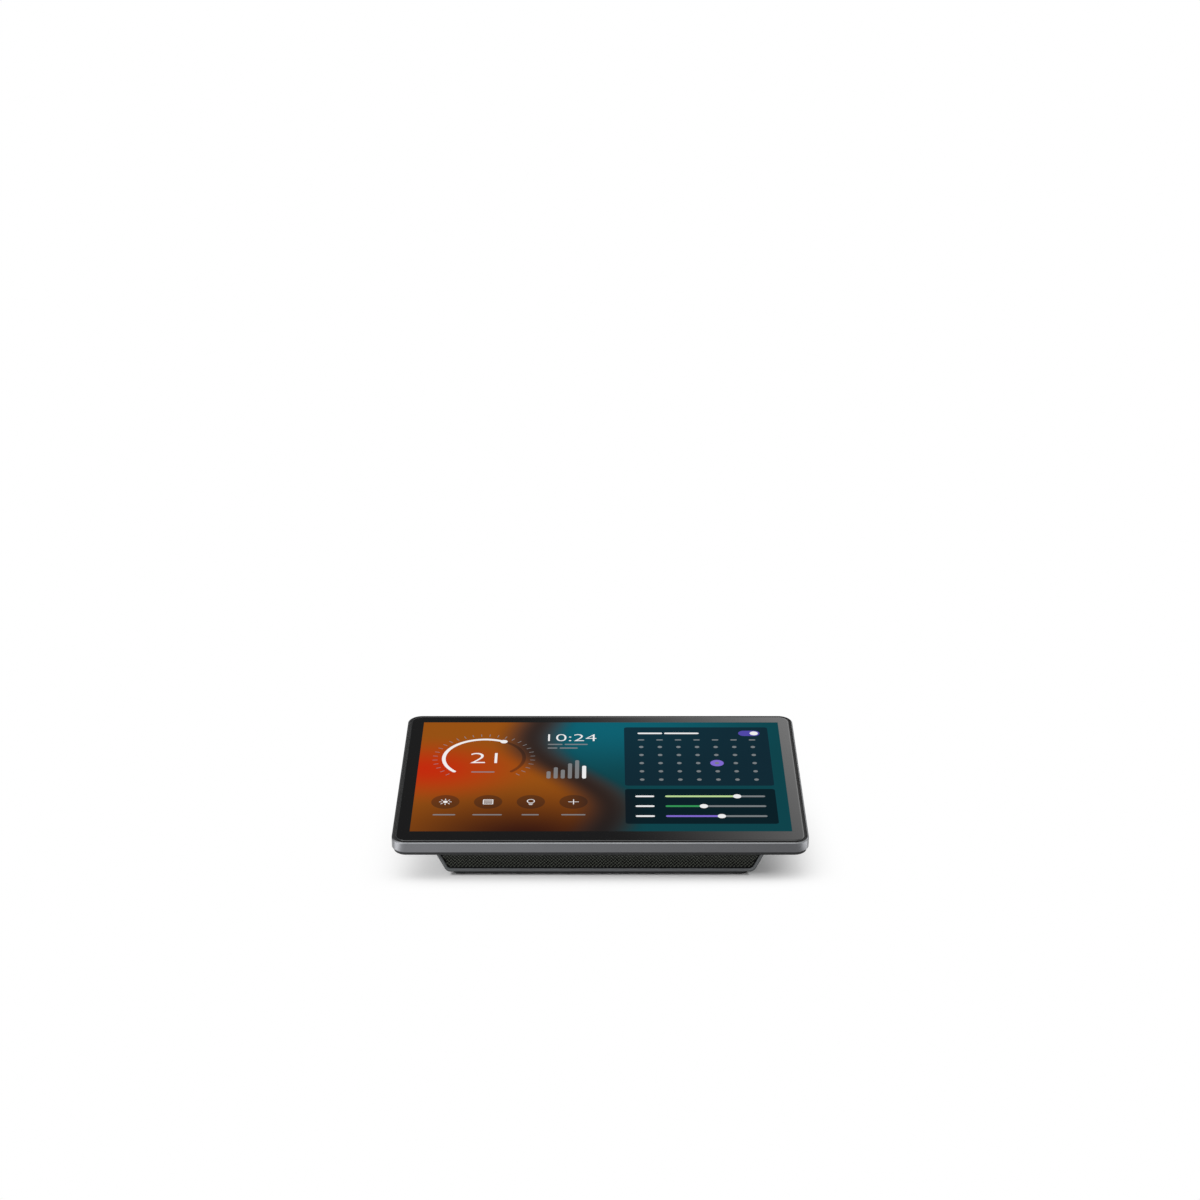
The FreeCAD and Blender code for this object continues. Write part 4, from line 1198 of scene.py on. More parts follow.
@dataclass
class Picture(Assembly):
    """The lit picture on the glass: a generic room panel with a dial, a clock, a chart, buttons and cards.

    Places across (u) and down (v) are shares of the picture's width and height, from its upper left corner.
    """

    head: Head = field(kw_only=True)
    width: float = 217.0 * MM
    height: float = 135.6 * MM
    bottom_border: float = 13.0 * MM
    aside: float = 0.4 * MM
    sink: float = 0.10 * MM
    layer_step: float = 0.012 * MM
    pen: float = 0.52 * MM
    title_height: float = 1.9 * MM
    line_height: float = 1.4 * MM
    word_gap: float = 1.2 * MM
    number_weight: float = -0.012
    number_stretch: float = 1.12
    spot_sides: int = 48
    level_place: Point = (0.178, 0.345)
    level_start: float = math.radians(225.0)
    level_now: float = math.radians(62.0)
    level_end: float = math.radians(-45.0)
    level_radius: float = 24.0 * MM
    level_width: float = 2.2 * MM
    level_number: float = 13.0 * MM
    level_line: Point = (0.178, 0.475)
    level_line_length: float = 14.0 * MM
    tick_span: Point = (28.0 * MM, 30.5 * MM)
    tick_count: int = 28
    clock_place: Point = (0.420, 0.150)
    clock_height: float = 9.0 * MM
    clock_rows: Point = (0.215, 0.250)
    clock_words: tuple[Point, Point] = ((9.0 * MM, 14.0 * MM), (6.0 * MM, 11.0 * MM))
    side_left: float = 0.352
    chart_base: float = 0.535
    chart_pitch: float = 4.2 * MM
    chart_bar: float = 2.4 * MM
    chart_heights: tuple[float, ...] = (9.0 * MM, 14.0 * MM, 11.0 * MM, 19.0 * MM, 23.0 * MM, 16.0 * MM)
    buttons: SpotGrid = SpotGrid((0.085, 0.427), (0.745, 0.745), 4, 1, 8.2 * MM)
    button_names: tuple[float, ...] = (13.0 * MM, 17.0 * MM, 10.0 * MM, 14.0 * MM)
    button_signs: tuple[Sign, ...] = (SUN, BLIND, BULB, PLUS)
    name_row: float = 0.858
    sign_size: float = 3.5 * MM
    card_span: Point = (0.565, 0.968)
    card_rows: tuple[Point, Point] = ((0.049, 0.600), (0.630, 0.936))
    card_round: float = 1.8 * MM
    month_row: float = 0.108
    month_words: tuple[float, ...] = (15.0 * MM, 21.0 * MM)
    week_row: float = 0.172
    week_bar: float = 4.0 * MM
    days: SpotGrid = SpotGrid((0.612, 0.922), (0.240, 0.545), 7, 5, 1.35 * MM)
    today: tuple[int, int] = (4, 2)
    today_radius: float = 4.0 * MM
    switch_place: Point = (0.915, 0.108)
    switch_size: Point = (13.0 * MM, 7.0 * MM)
    switch_knob: float = 2.5 * MM
    slider_rows: tuple[float, ...] = (0.696, 0.783, 0.870)
    slider_levels: tuple[tuple[str, float], ...] = (("lime", 0.72), ("green", 0.38), ("violet", 0.55))
    slider_span: Point = (0.672, 0.940)
    slider_height: float = 2.0 * MM
    slider_name: float = 0.592
    slider_name_length: float = 11.0 * MM
    slider_knob: float = 2.4 * MM

    def x(self, u: float) -> float:
        """Place across, from the picture's middle."""
        return (u - 0.5) * self.width

    def y(self, v: float) -> float:
        """Place up the picture, from its middle."""
        return (0.5 - v) * self.height

    def inlay(self, layer: Layer) -> Inlay:
        """Starts a set of flat shapes on one of the layers above the glass."""
        return Inlay(-self.sink, self.layer_step * layer)

    def put(self, name: str, mesh: Mesh, finish: str) -> None:
        """Lays a mesh that was drawn about the picture's middle on the glass.

        Args:
            name: Name of the piece.
            mesh: Its mesh.
            finish: Name of its finish.
        """
        for layer in list(mesh.uv_layers):
            mesh.uv_layers.remove(layer)
        picture_map = mesh.uv_layers.new(name="picture")
        for loop in mesh.loops:
            place = mesh.vertices[loop.vertex_index].co
            picture_map.data[loop.index].uv = (place.x / self.width + 0.5, place.y / self.height + 0.5)
        middle = (self.aside, self.bottom_border + self.height / 2, self.head.glass_top)
        mesh.transform(self.head.place() @ Matrix.Translation(middle))
        self.piece(name, mesh, "display_glass", finish=finish)

    def show(self, name: str, shapes: Inlay, finish: str) -> None:
        """Lays a set of flat shapes on the glass as one piece."""
        self.put(name, closed_mesh(shapes.made, name), finish)

    def numbers(self, name: str, body: str, place: Point, tall: float) -> None:
        """Sets plain numbers.

        Args:
            name: Name of the piece.
            body: The numbers.
            place: Their middle, across and down the picture.
            tall: Their height.
        """
        text = bpy.data.curves.new(name, "FONT")
        text.body = body
        text.offset = self.number_weight
        text.extrude = (self.sink + Layer.PRINT * self.layer_step) / 2
        mesh = evaluated(added(name, text))
        low, high = extent(vertex.co for vertex in mesh.vertices)
        scale = tall / (high.y - low.y)
        size = Matrix.Diagonal((scale * self.number_stretch, scale, 1.0, 1.0))
        middle = Vector(((low.x + high.x) / 2, (low.y + high.y) / 2, low.z))
        moved = Matrix.Translation((self.x(place[0]), self.y(place[1]), -self.sink))
        mesh.transform(moved @ size @ Matrix.Translation(-middle))
        self.put(name, closed_mesh(welded(mesh), name), "lit_white")

    def spots(self, name: str, grid: SpotGrid, layer: Layer, finish: str) -> None:
        """Sets a grid of round spots with a node tree.

        Args:
            name: Name of the piece.
            grid: Their places and size.
            layer: Layer above the glass.
            finish: Name of their finish.
        """
        left, right = (self.x(u) for u in grid.across)
        upper, lower = (self.y(v) for v in grid.down)
        top = layer * self.layer_step
        model = NodeModel(name)
        columns, rows, across, down, radius, thickness = model.numbers(
            columns=grid.columns, rows=grid.rows, across=right - left, down=upper - lower,
            radius=grid.radius, thickness=self.sink + top)
        dressing = model.ask("Finish", "Material", self.palette.material(finish))
        points = model.node("MeshGrid", Size_X=across, Size_Y=down, Vertices_X=columns, Vertices_Y=rows)
        spot = model.node("MeshCylinder", Vertices=self.spot_sides, Radius=radius, Depth=thickness)
        laid = model.node("InstanceOnPoints", Points=points.outputs["Mesh"], Instance=spot.outputs["Mesh"])
        mesh = model.mesh(laid.outputs[0], dressing, bpy.data.meshes.new(name))
        mesh.transform(Matrix.Translation(((left + right) / 2, (upper + lower) / 2, (top - self.sink) / 2)))
        self.put(name, mesh, finish)

    def backdrop(self) -> None:
        """Lays the soft glow over the whole picture."""
        shapes = self.inlay(Layer.GROUND)
        shapes.area([(self.x(u), self.y(v)) for u, v in ((0, 1), (1, 1), (1, 0), (0, 0))])
        self.show("screen_backdrop", shapes, "lit_backdrop")

    def arc(self, radius: float, end: float, steps: int = 48) -> list[Point]:
        """Draws points round the dial's middle, from its start to another angle.

        Args:
            radius: Distance from the middle.
            end: The other angle.
            steps: Number of pieces.

        Returns:
            The points.
        """
        x, y = self.x(self.level_place[0]), self.y(self.level_place[1])
        turn = end - self.level_start
        return [on_circle(radius, self.level_start + turn * i / steps, x, y) for i in range(steps + 1)]

    def level_dial(self) -> None:
        """Draws the level dial: ticks, a track, its lit part with a knob, and a number with a line below."""
        track, level, ticks = (self.inlay(layer) for layer in (Layer.CARD, Layer.PRINT, Layer.PRINT))
        track.stroke(self.arc(self.level_radius, self.level_end), self.level_width)
        lit_part = self.arc(self.level_radius, self.level_now)
        level.stroke(lit_part, self.level_width)
        level.disc(*lit_part[-1], self.level_width)
        for ends in zip(*(self.arc(reach, self.level_end, self.tick_count - 1) for reach in self.tick_span)):
            ticks.stroke(ends, self.pen)
        left = self.x(self.level_line[0]) - self.level_line_length / 2
        ticks.bar(left, self.y(self.level_line[1]), self.level_line_length, self.line_height)
        self.show("dial_track", track, "lit_dial")
        self.show("dial_level", level, "lit_white")
        self.show("dial_ticks", ticks, "lit_grey")
        self.numbers("dial_number", "21", self.level_place, self.level_number)

    def clock(self) -> None:
        """Sets the clock's plain numbers, and two short lines under them."""
        self.numbers("clock_numbers", "10:24", self.clock_place, self.clock_height)
        lines = self.inlay(Layer.PRINT)
        for v, lengths in zip(self.clock_rows, self.clock_words):
            lines.words(self.x(self.side_left), self.y(v), lengths, self.line_height, self.word_gap)
        self.show("clock_lines", lines, "lit_grey")

    def chart(self) -> None:
        """Draws a small chart of upright bars, the last one bright."""
        before, now = self.inlay(Layer.PRINT), self.inlay(Layer.PRINT)
        for i, tall in enumerate(self.chart_heights):
            shapes = now if i == len(self.chart_heights) - 1 else before
            left = self.x(self.side_left) + i * self.chart_pitch
            shapes.bar(left, self.y(self.chart_base) + tall / 2, self.chart_bar, tall)
        self.show("chart_bars", before, "lit_grey")
        self.show("chart_bar_now", now, "lit_white")

    def round_buttons(self) -> None:
        """Sets the round buttons, with a plain sign on each and a line under it."""
        self.spots("round_buttons", self.buttons, Layer.CARD, "lit_dial")
        signs, lines = self.inlay(Layer.PRINT), self.inlay(Layer.PRINT)
        for i, (sign, length) in enumerate(zip(self.button_signs, self.button_names)):
            x = self.x(self.buttons.u(i))
            sign.draw(signs, x, self.y(self.buttons.v(0)), self.sign_size, self.pen)
            lines.bar(x - length / 2, self.y(self.name_row), length, self.line_height)
        self.show("button_signs", signs, "lit_white")
        self.show("button_lines", lines, "lit_grey")

    def cards(self) -> None:
        """Lays the two dark cards, of which the upper is a little lighter."""
        left, right = (self.x(u) for u in self.card_span)
        finishes = (("card_upper", "lit_card"), ("card_lower", "lit_card_low"))
        for (name, finish), (top, bottom) in zip(finishes, self.card_rows):
            shapes = self.inlay(Layer.CARD)
            low, high = self.y(bottom), self.y(top)
            outline = rounded_outline((right - left) / 2, low, high, self.card_round, BAR_STEPS)
            shapes.area([((left + right) / 2 + px, py) for px, py in outline])
            self.show(name, shapes, finish)

    def month(self) -> None:
        """Sets the upper card: a title, the week's bars and the days, with one day marked."""
        title, week, today = (self.inlay(Layer.PRINT) for _ in range(3))
        lefts = [self.x(self.days.u(i)) - self.week_bar / 2 for i in range(self.days.columns)]
        title.words(lefts[0], self.y(self.month_row), self.month_words, self.title_height, self.word_gap)
        for left in lefts:
            week.bar(left, self.y(self.week_row), self.week_bar, self.line_height)
        column, row = self.today
        today.disc(self.x(self.days.u(column)), self.y(self.days.v(row)), self.today_radius)
        self.show("month_title", title, "lit_white")
        self.show("week_bars", week, "lit_grey")
        self.show("month_today", today, "lit_violet")
        self.spots("month_days", self.days, Layer.MARK, "lit_grey")

    def switch(self) -> None:
        """Sets the upper card's switch, which is on."""
        track, knob = self.inlay(Layer.PRINT), self.inlay(Layer.MARK)
        wide, tall = self.switch_size
        x, y = self.x(self.switch_place[0]), self.y(self.switch_place[1])
        track.bar(x - wide / 2, y, wide, tall)
        knob.disc(x + (wide - tall) / 2, y, self.switch_knob)
        self.show("switch_track", track, "lit_indigo")
        self.show("switch_knob", knob, "lit_white")

    def sliders(self) -> None:
        """Sets the lower card: three sliders, each with a name bar, a track, its filled part and a knob."""
        names, tracks, knobs = (self.inlay(layer) for layer in (Layer.PRINT, Layer.PRINT, Layer.KNOB))
        left, right = (self.x(u) for u in self.slider_span)
        for v, (colour, share) in zip(self.slider_rows, self.slider_levels):
            y, length = self.y(v), (right - left) * share
            names.bar(self.x(self.slider_name), y, self.slider_name_length, self.title_height)
            tracks.bar(left, y, right - left, self.slider_height)
            knobs.disc(left + length, y, self.slider_knob)
            filled = self.inlay(Layer.MARK)
            filled.bar(left, y, length, self.slider_height)
            self.show("slider_" + colour, filled, "lit_" + colour)
        self.show("slider_names", names, "lit_white")
        self.show("slider_tracks", tracks, "lit_grey")
        self.show("slider_knobs", knobs, "lit_white")

    def build(self) -> None:
        """Makes the whole picture."""
        for part in (self.backdrop, self.level_dial, self.clock, self.chart, self.round_buttons, self.cards,
                     self.month, self.switch, self.sliders):
            part()


@dataclass
class Grille(Assembly):
    """The woven mesh in the base's front: a sheet under a plain weave laid at 45 degrees."""

    front_draft: float = math.radians(15.6)
    side_draft: float = math.radians(27.0)
    plate_inset: float = 1.25 * MM
    pitch: float = 1.5 * MM
    float_length: float = 1.9 * MM
    float_width: float = 0.56 * MM
    float_height: float = 0.30 * MM
    margin: float = 0.55 * MM
    lay: float = math.radians(45.0)
    sharp_angle: float = math.radians(60.0)
    segments: int = 8
    rings: int = 5

    def place(self) -> Matrix:
        """Finds the front face's own frame: X across, Y up the face, Z out of it.

        Returns:
            The turn from that frame into the console's.
        """
        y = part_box("base_plate")[0].y - self.plate_inset
        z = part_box("base_shell")[0].z
        return Matrix.Translation((0, y, z)) @ Matrix.Rotation(math.pi / 2 + self.front_draft, 4, "X")

    def sheet(self) -> Mesh:
        """Takes the mesh's solid into the face's frame and thins it to make room for the weave.

        Returns:
            The sheet.
        """
        mesh = copied_mesh("grille_mesh")
        mesh.transform(self.place().inverted())
        top = max(vertex.co.z for vertex in mesh.vertices)
        for vertex in mesh.vertices:
            if vertex.co.z > top - self.float_height / 2:
                vertex.co.z = top - self.float_height
        return mesh

    def weave(self) -> Mesh:
        """Lays the yarns over the sheet with a node tree.

        Returns:
            The mesh, in place.
        """
        sheet = self.sheet()
        low, high = extent(vertex.co for vertex in sheet.vertices)
        tall, wide = high.y - low.y, high.x
        slope = math.cos(self.front_draft) * math.tan(self.side_draft)
        side = math.sqrt(2) * (wide + tall)
        model = NodeModel("woven_grille")
        sketch = model.sketch
        pitch, yarns, middle, half_tall, half_wide, lean, level, length, width, rise = model.numbers(
            pitch=self.pitch, yarns=2 * math.ceil(side / self.pitch / 2) + 1,
            middle_height=(low.y + high.y) / 2, half_height=tall / 2 - self.margin,
            half_width=wide - slope * tall / 2 - self.margin, side_lean=slope, sheet_level=high.z,
            float_length=self.float_length / 2, float_width=self.float_width / 2,
            float_height=self.float_height)
        finish = model.ask("Finish", "Material", self.palette.material("grille_mesh"))
        span = pitch * (yarns - 1.0)
        grid = model.node("MeshGrid", Size_X=span, Size_Y=span, Vertices_X=yarns, Vertices_Y=yarns)
        px, py, _ = sketch.parts(model.node("InputPosition").outputs[0])
        across = (px - py) / math.sqrt(2)
        up = (px + py) / math.sqrt(2)
        outside = sketch.math("MAXIMUM", abs(across) > half_wide + up * lean, abs(up) > half_tall)
        kept = model.node("DeleteGeometry", Geometry=grid.outputs["Mesh"], Selection=outside)
        row, column = (sketch.math("ROUND", place / pitch) for place in (px, py))
        odd = abs(sketch.math("MODULO", row + column, 2.0))
        bead = model.node("MeshUVSphere", Segments=self.segments, Rings=self.rings, Radius=1.0)
        yarn = model.node("Transform", Geometry=bead.outputs["Mesh"], Scale=model.vector(length, width, rise))
        marked = model.node("StoreNamedAttribute", Geometry=yarn.outputs[0], Name="yarn", Value=1.0)
        laid = model.node("InstanceOnPoints", Points=kept.outputs[0], Instance=marked.outputs[0],
                          Rotation=model.vector(z=odd * (math.pi / 2)))
        turned = model.node("Transform", Geometry=laid.outputs[0], Rotation=model.vector(z=self.lay),
                            Translation=model.vector(0.0, middle, level))
        joined = model.node("JoinGeometry")
        for part in (turned.outputs[0], model.start.outputs["Geometry"]):
            sketch.feed(joined.inputs[0], part)
        mesh = model.mesh(joined.outputs[0], finish, sheet)
        mesh.shade_smooth()
        mesh.set_sharp_from_angle(angle=self.sharp_angle)
        mesh.transform(self.place())
        return mesh

    def build(self) -> None:
        """Makes the grille."""
        self.piece("woven_grille", self.weave(), "grille_mesh", ["grille_mesh"])
        self.dress({"grille_backing": "dark_plastic"})


@dataclass
class Base(Assembly):
    """The moulded wedge base: shell, bottom plate and feet."""

    feet: tuple[str, ...] = ("front_left", "front_right", "rear_left", "rear_right")

    def build(self) -> None:
        """Makes the base's pieces."""
        self.copy("wedge_shell", "base_shell", "base_plastic")
        self.copy("bottom_plate", "base_plate", "dark_plastic")
        for corner in self.feet:
            self.copy("rubber_foot_" + corner, "foot_" + corner, "foot_rubber")


@dataclass
class CableBay(Assembly):
    """The cable bay: port panel, sockets, reset button and the door that drops open."""

    copied: dict[str, str] = field(default_factory=lambda: {
        "network_jack": "connector_plastic", "video_socket": "socket_steel",
        "accessory_socket": "socket_steel", "lock_plate": "lock_steel"})
    kept: dict[str, str] = field(default_factory=lambda: {
        "network_contacts": "gold_contacts", "network_lights": "light_pipe",
        "video_tongue": "connector_plastic", "accessory_tongue": "connector_plastic",
        "reset_switch": "connector_plastic"})

    def build(self) -> None:
        """Makes the bay's pieces, the panel painted a little paler than the other dark plastic, as painted
        fill light against the bay's shade.
        """
        self.copy("bay_port_panel", "port_panel", "dark_plastic", finish="bay_plastic")
        for node, slot in self.copied.items():
            self.copy("bay_" + node, node, slot)
        self.dress(self.kept)
        self.copy("bay_door", "port_door", "base_plastic", body="port_door")
        self.copy("bay_reset_button", "reset_button", "button_plastic", body="reset_button")


@dataclass
class ScrewSet(Assembly):
    """Screws of one size, all of one CAD node, with a six-lobed recess in each head.

    Attributes:
        node: CAD node that they stand for.
        slot: Their material slot.
        into: Turn into a frame in which the screws stand upright.
        head_up: True where the heads are at the upper end.
        head_height: Height of a head.
        head_round: Rounding of a head's edge, as a share of its height.
        round_most: The most that this rounding may be.
        shank_radius: Radius of a shank.
        tip_share: Radius of a shank's end, as a share of the shank's.
        tip_length: Length of the end's taper, as a share of the shank's radius.
        lobes: Lobes of the recess.
        lobe_share: How far a lobe goes in and out, as a share of the recess's radius.
        recess_share: Radius of the recess, as a share of the head's.
        recess_depth: Its depth, as a share of the head's height.
        steps: Points round a screw.
        seed: Seed for how far each is turned.
    """

    node: str = field(kw_only=True)
    slot: str = "screw_steel"
    into: Matrix = field(default_factory=lambda: Matrix.Identity(4))
    head_up: bool = False
    head_height: float = 1.0 * MM
    head_round: float = 0.25
    round_most: float = 0.2 * MM
    shank_radius: float = 1.2 * MM
    tip_share: float = 0.55
    tip_length: float = 0.6
    lobes: int = 6
    lobe_share: float = 0.14
    recess_share: float = 0.5
    recess_depth: float = 0.55
    steps: int = 24
    seed: int = 7

    def template(self, head_radius: float, length: float) -> Mesh:
        """Turns one screw about Z, its head's top at 0 and its shank down.

        Args:
            head_radius: Radius of the head.
            length: Whole length.

        Returns:
            The mesh.
        """
        tall, thread = self.head_height, self.shank_radius
        soft = min(self.head_round * tall, self.round_most)
        profile = [
            (self.tip_share * thread, -length), (thread, -length + self.tip_length * thread), (thread, -tall),
            (head_radius, -tall), (head_radius, -soft), (head_radius - soft, 0.0),
        ]
        turns = [math.tau * i / self.steps for i in range(self.steps)]
        rings = [[(*on_circle(radius, turn), z) for turn in turns] for radius, z in profile]
        reach = self.recess_share * head_radius
        waves = [1 + self.lobe_share * math.cos(self.lobes * turn) for turn in turns]
        lobed = [on_circle(reach * wave, turn) for wave, turn in zip(waves, turns)]
        for depth in (0.0, -self.recess_depth * tall):
            rings.append([(x, y, depth) for x, y in lobed])
        return ring_mesh(self.node + "_screw", rings)

    def build(self) -> None:
        """Sets a screw on each place with a node tree."""
        boxes = islands(self.node, self.into)
        low, high = boxes[0]
        template = self.template((high.x - low.x) / 2, high.z - low.z)
        single = bpy.data.objects.new(self.node + "_screw", template)
        points = bpy.data.meshes.new(self.node + "_places")
        tops = [Vector(((lo.x + hi.x) / 2, (lo.y + hi.y) / 2, hi.z if self.head_up else lo.z))
                for lo, hi in boxes]
        points.from_pydata(tops, [], [])
        model = NodeModel(self.node + "_set")
        shape = model.ask("Screw", "Object", single)
        flip, seed = model.numbers(flip=0.0 if self.head_up else math.pi, seed=self.seed)
        finish = model.ask("Finish", "Material", self.palette.material(self.slot))
        source = model.node("ObjectInfo", Object=shape)
        turn = model.sketch.wire("FunctionNodeRandomValue", RANDOM_RESULT,
                                 {"Seed": seed, RANDOM_MOST: math.tau}, data_type="FLOAT")
        laid = model.node("InstanceOnPoints", Points=model.start.outputs["Geometry"],
                          Instance=source.outputs["Geometry"], Rotation=model.vector(flip, 0.0, turn))
        mesh = model.mesh(laid.outputs[0], finish, points)
        mesh.transform(self.into.inverted())
        bpy.data.objects.remove(single)
        self.piece(self.node + "_set", mesh, self.slot, [self.node])


@dataclass
class Inside(Assembly):
    """What the closed housings hold, kept as solids."""

    slots: dict[str, str] = field(default_factory=lambda: {
        "touch_sensor": "sensor_glass", "lcd_panel": "display_glass", "light_guide": "light_guide",
        "backlight_tray": "tray_steel", "display_flex": "flex_film", "touch_flex": "flex_film",
        "radio_antenna_left": "antenna_board", "radio_antenna_right": "antenna_board",
        "ballast_plate": "ballast_steel", "main_board": "circuit_board", "board_standoffs": "brass",
        "processor_shield": "shield_tin", "thermal_pad": "thermal_pad",
        "heat_spreader": "spreader_aluminium", "display_connector": "connector_plastic",
        "touch_connector": "connector_plastic"})
    speaker_slots: dict[str, str] = field(default_factory=lambda: {
        "speaker_basket": "speaker_plastic", "speaker_magnet": "magnet_steel",
        "speaker_surround": "surround_rubber", "speaker_cone": "cone_pulp"})

    def build(self) -> None:
        """Gives every inner solid its material."""
        self.dress(self.slots)
        for side in ("_left", "_right"):
            self.dress({part + side: slot for part, slot in self.speaker_slots.items()})


# Studio


@dataclass
class Studio:
    """Pale floor, soft light and the camera. A pair is where a change starts and ends, or its two levels."""

    camera_place: Place = (-0.00013, -1.51425, 0.39923)
    camera_pitch: float = math.radians(80.618)
    lens: float = 78.88
    sensor: float = 36.0
    floor_radius: float = 8.0
    floor_sides: int = 64
    floor_colour: Colour = (0.94, 0.94, 0.94)
    fade: Point = (0.13, 0.36)
    front_fade: Point = (0.0535, 0.0955)
    front_skew: float = 0.035
    cover_edge: Point = (0.0, 0.005)
    side_fade: Point = (0.090, 0.145)
    shadow_level: Point = (0.60, 0.90)
    shadow_side: Point = (-0.12, 0.12)
    mirror_level: Point = (1.05, 0.60)
    mirror_turn: Point = (-0.13, 0.13)
    mirror_front: Point = (0.060, 0.078)
    mirror_under: Point = (0.020, 0.045)
    # Floor colour that glossy rays see under the head's front: painted shade in the console's reflections.
    mirror_dark: Colour = (0.12, 0.12, 0.12)
    mirror_side: Point = (0.1325, 0.156)
    side_skew: float = 0.033
    mirror_gate: Point = (0.037, 0.055)
    gate_skew: float = 0.075
    mirror_shine: float = 2.6
    mirror_far: Point = (0.20, 0.42)
    mirror_far_level: float = 0.40
    ambient: float = 0.66
    back_edge: Point = (0.10, 0.45)
    window_height: Point = (0.20, 0.50)
    softbox_edge: Point = (-0.698, -0.558)
    softbox_level: Point = (0.10, 1.95)
    sky_level: float = 0.95
    flag_side: Point = (0.20, 0.40)
    flag_height: Point = (0.32, 0.50)
    flag_level: float = 0.12
    key_power: float = 11.0
    key_size: float = 1.5
    key_place: Place = (-0.25, -0.5, 1.6)
    fill_power: float = 6.0
    fill_size: float = 0.7
    fill_place: Place = (-1.0, -1.0, 0.36)

    def shade(self, sketch: Sketch, across: Wire, ahead: Wire, around: Wire) -> Wire:
        """Adds how much of the console's shadow the camera sees on the floor.

        Args:
            sketch: The floor's nodes.
            across: Place to the right.
            ahead: Place towards the camera.
            around: Nearness to the console.

        Returns:
            The share, which is whole under the base.
        """
        front = sketch.ease(ahead + across * self.front_skew, self.front_fade, 1.0, 0.0)
        sides = sketch.ease(abs(across), self.side_fade, 1.0, 0.0)
        level = sketch.ease(across, self.shadow_side, *self.shadow_level)
        low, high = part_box("base_plate")
        past_side = abs(across) - high.x
        past_end = abs(ahead + (low.y + high.y) / 2) - (high.y - low.y) / 2
        covered = sketch.ease(sketch.math("MAXIMUM", past_side, past_end), self.cover_edge, 1.0, 0.0)
        return sketch.math("MAXIMUM", around * front * (sides * level), covered)

    def floor_material(self) -> Material:
        """Makes the floor white to the camera, with the console's shadow, and shining at the console's sides.

        Returns:
            The material.
        """
        material = bpy.data.materials.new("studio_floor")
        material.use_nodes = True
        material.node_tree.nodes.clear()
        sketch = Sketch(material.node_tree)
        ray = sketch.node("ShaderNodeLightPath", {})
        seen, mirrored = (Wire(sketch, ray.outputs[name]) for name in ("Is Camera Ray", "Is Glossy Ray"))
        place = sketch.object_point()
        across, back, _ = sketch.parts(place)
        ahead = back * -1.0
        distance = sketch.distance(place)
        around = sketch.ease(distance, self.fade, 1.0, 0.0)
        beside = sketch.ease(abs(across) - across * self.side_skew, self.mirror_side)
        # Under the head's front, glossy rays see a darker floor colour: painted shade in reflections.
        under = mirrored * sketch.ease(ahead, self.mirror_under)
        colour = sketch.mix(under, self.floor_colour, self.mirror_dark)
        gate = sketch.ease(ahead + across * self.gate_skew, self.mirror_gate)
        shine = beside * gate * sketch.ease(distance, self.mirror_far, self.mirror_shine, 0.0)
        plain = sketch.ease(across, self.mirror_turn, *self.mirror_level)
        faded = plain * sketch.ease(distance, self.mirror_far, 1.0, self.mirror_far_level)
        direct = 1.0 - self.shade(sketch, across, ahead, around)
        hidden = around * sketch.ease(ahead, self.mirror_front, 1.0, 0.0)
        bounced = 1.0 - hidden * (1.0 - beside)
        matt = sketch.wire("ShaderNodeBsdfDiffuse", 0, {"Color": colour})
        white = sketch.wire("ShaderNodeEmission", 0, {"Strength": (faded + shine) * mirrored + seen})
        share = direct * seen + bounced * mirrored
        mixed = sketch.wire("ShaderNodeMixShader", 0, {0: share, 1: matt, 2: white})
        sketch.node("ShaderNodeOutputMaterial", {"Surface": mixed})
        return material

    def floor(self) -> None:
        """Lays the floor."""
        made = bmesh.new()
        bmesh.ops.create_circle(made, cap_ends=True, segments=self.floor_sides, radius=self.floor_radius)
        mesh = bpy.data.meshes.new("studio_floor")
        made.to_mesh(mesh)
        made.free()
        mesh.materials.append(self.floor_material())
        added("studio_floor", mesh)

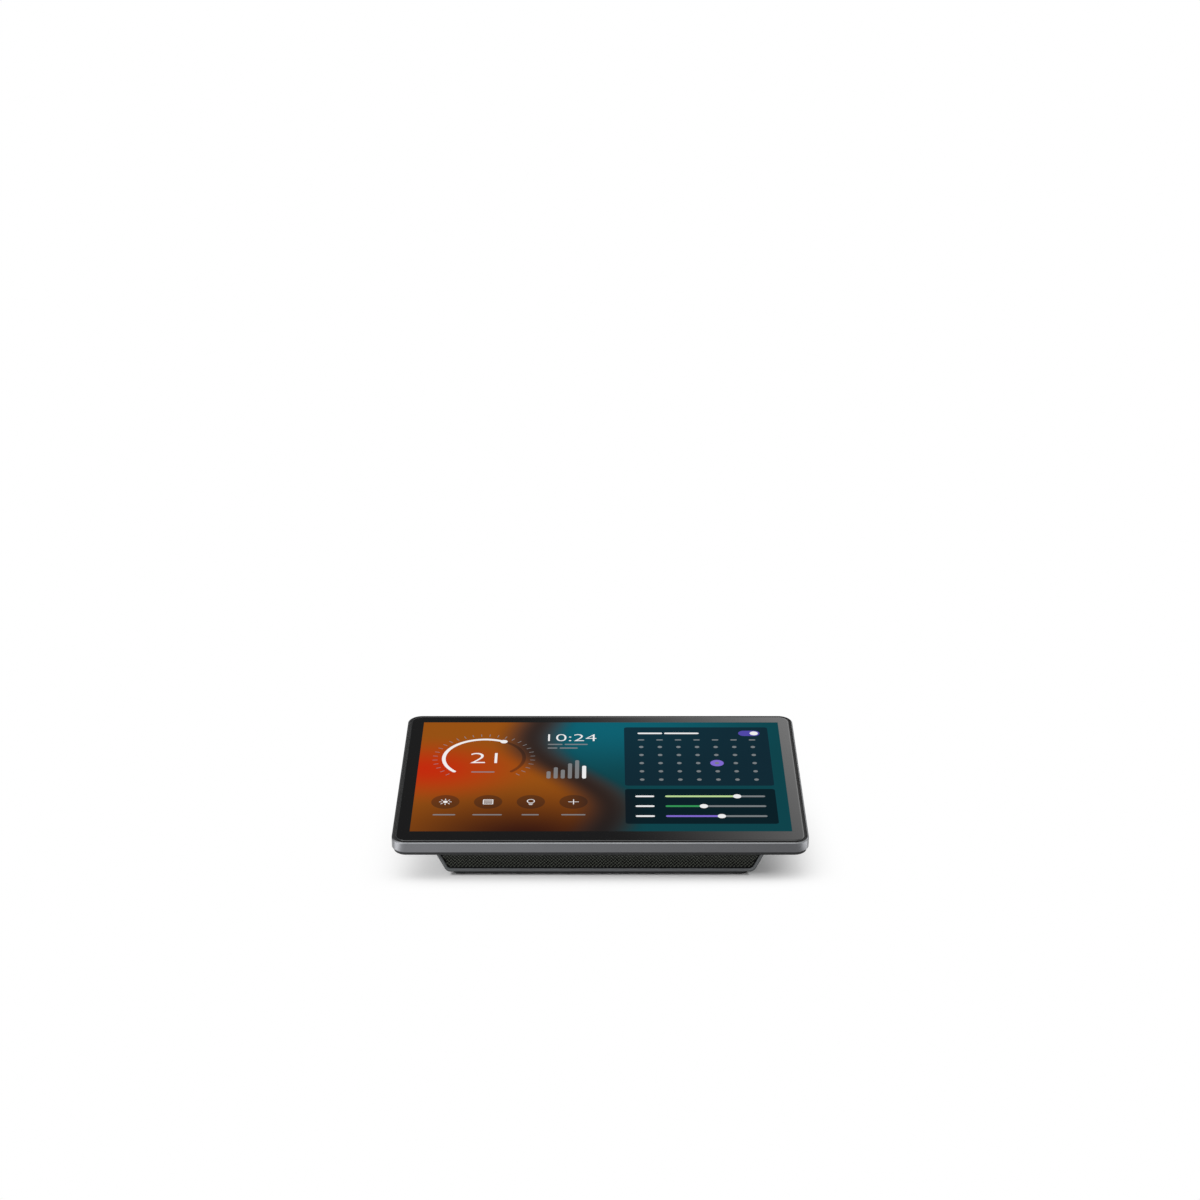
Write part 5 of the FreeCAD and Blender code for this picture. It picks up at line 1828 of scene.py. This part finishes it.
    def world(self) -> None:
        """Sets the surroundings: white to the camera, a dome to matt surfaces, a softbox to glossy ones."""
        world = bpy.data.worlds.new("studio")
        bpy.context.scene.world = world
        world.use_nodes = True
        sketch = Sketch(world.node_tree)
        across, back, up = sketch.parts(sketch.wire("ShaderNodeTexCoord", "Generated", {}))
        behind = sketch.ease(back, self.back_edge)
        window = behind * sketch.ease(up, self.window_height)
        softbox = sketch.ease(across - up, self.softbox_edge, *self.softbox_level)
        low = behind * sketch.ease(up, self.flag_height, 1.0, 0.0)
        flag = low * sketch.ease(abs(across), self.flag_side)
        plain = (1.0 - window) * self.sky_level * sketch.ease(flag, (0.0, 1.0), 1.0, self.flag_level)
        ray = sketch.node("ShaderNodeLightPath", {})
        mirrored = sketch.math("MAXIMUM", ray.outputs["Is Glossy Ray"], ray.outputs["Is Transmission Ray"])
        indirect = (1.0 - mirrored) * self.ambient + mirrored * (plain + window * softbox)
        seen = Wire(sketch, ray.outputs["Is Camera Ray"])
        background = world.node_tree.nodes["Background"]
        background.inputs["Color"].default_value = (1.0, 1.0, 1.0, 1.0)
        sketch.feed(background.inputs["Strength"], (1.0 - seen) * indirect + seen)

    def lamp(self, name: str, place: Place, power: float, size: float) -> None:
        """Hangs a soft square lamp that looks at the console.

        Args:
            name: Name of the lamp.
            place: Where it hangs.
            power: Its power in watts.
            size: Its side.
        """
        light = bpy.data.lights.new(name, "AREA")
        light.energy = power
        light.size = size
        lamp = added(name, light)
        lamp.location = place
        lamp.rotation_euler = (-Vector(place)).to_track_quat("-Z", "Y").to_euler()

    def camera(self) -> None:
        """Sets the camera where the photograph was taken from."""
        data = bpy.data.cameras.new("camera")
        data.lens = self.lens
        data.sensor_width = self.sensor
        camera = added("camera", data)
        camera.location = self.camera_place
        camera.rotation_euler = (self.camera_pitch, 0.0, 0.0)
        bpy.context.scene.camera = camera

    def build(self) -> None:
        """Sets up floor, surroundings, lamps and camera."""
        bpy.context.scene.view_settings.view_transform = "Standard"
        self.floor()
        self.world()
        self.lamp("key_light", self.key_place, self.key_power, self.key_size)
        self.lamp("fill_light", self.fill_place, self.fill_power, self.fill_size)
        self.camera()


def main() -> None:
    """Builds every assembly in order, then the studio."""
    logging.basicConfig(level=logging.INFO, format="%(name)s: %(message)s")
    palette = Palette(FINISHES)
    head = Head(palette)
    upright = head.place().inverted()
    assemblies = (
        head,
        Picture(palette, head=head),
        Base(palette),
        Grille(palette),
        CableBay(palette),
        ScrewSet(palette, node="base_screws", slot="screw_black", head_height=0.6 * MM),
        ScrewSet(palette, node="head_screws", into=upright, head_height=1.8 * MM),
        ScrewSet(palette, node="board_screws", head_up=True, head_height=1.2 * MM, shank_radius=1.0 * MM),
        Inside(palette),
        Studio(),
    )
    for assembly in assemblies:
        assembly.build()


if __name__ == "__main__":
    main()
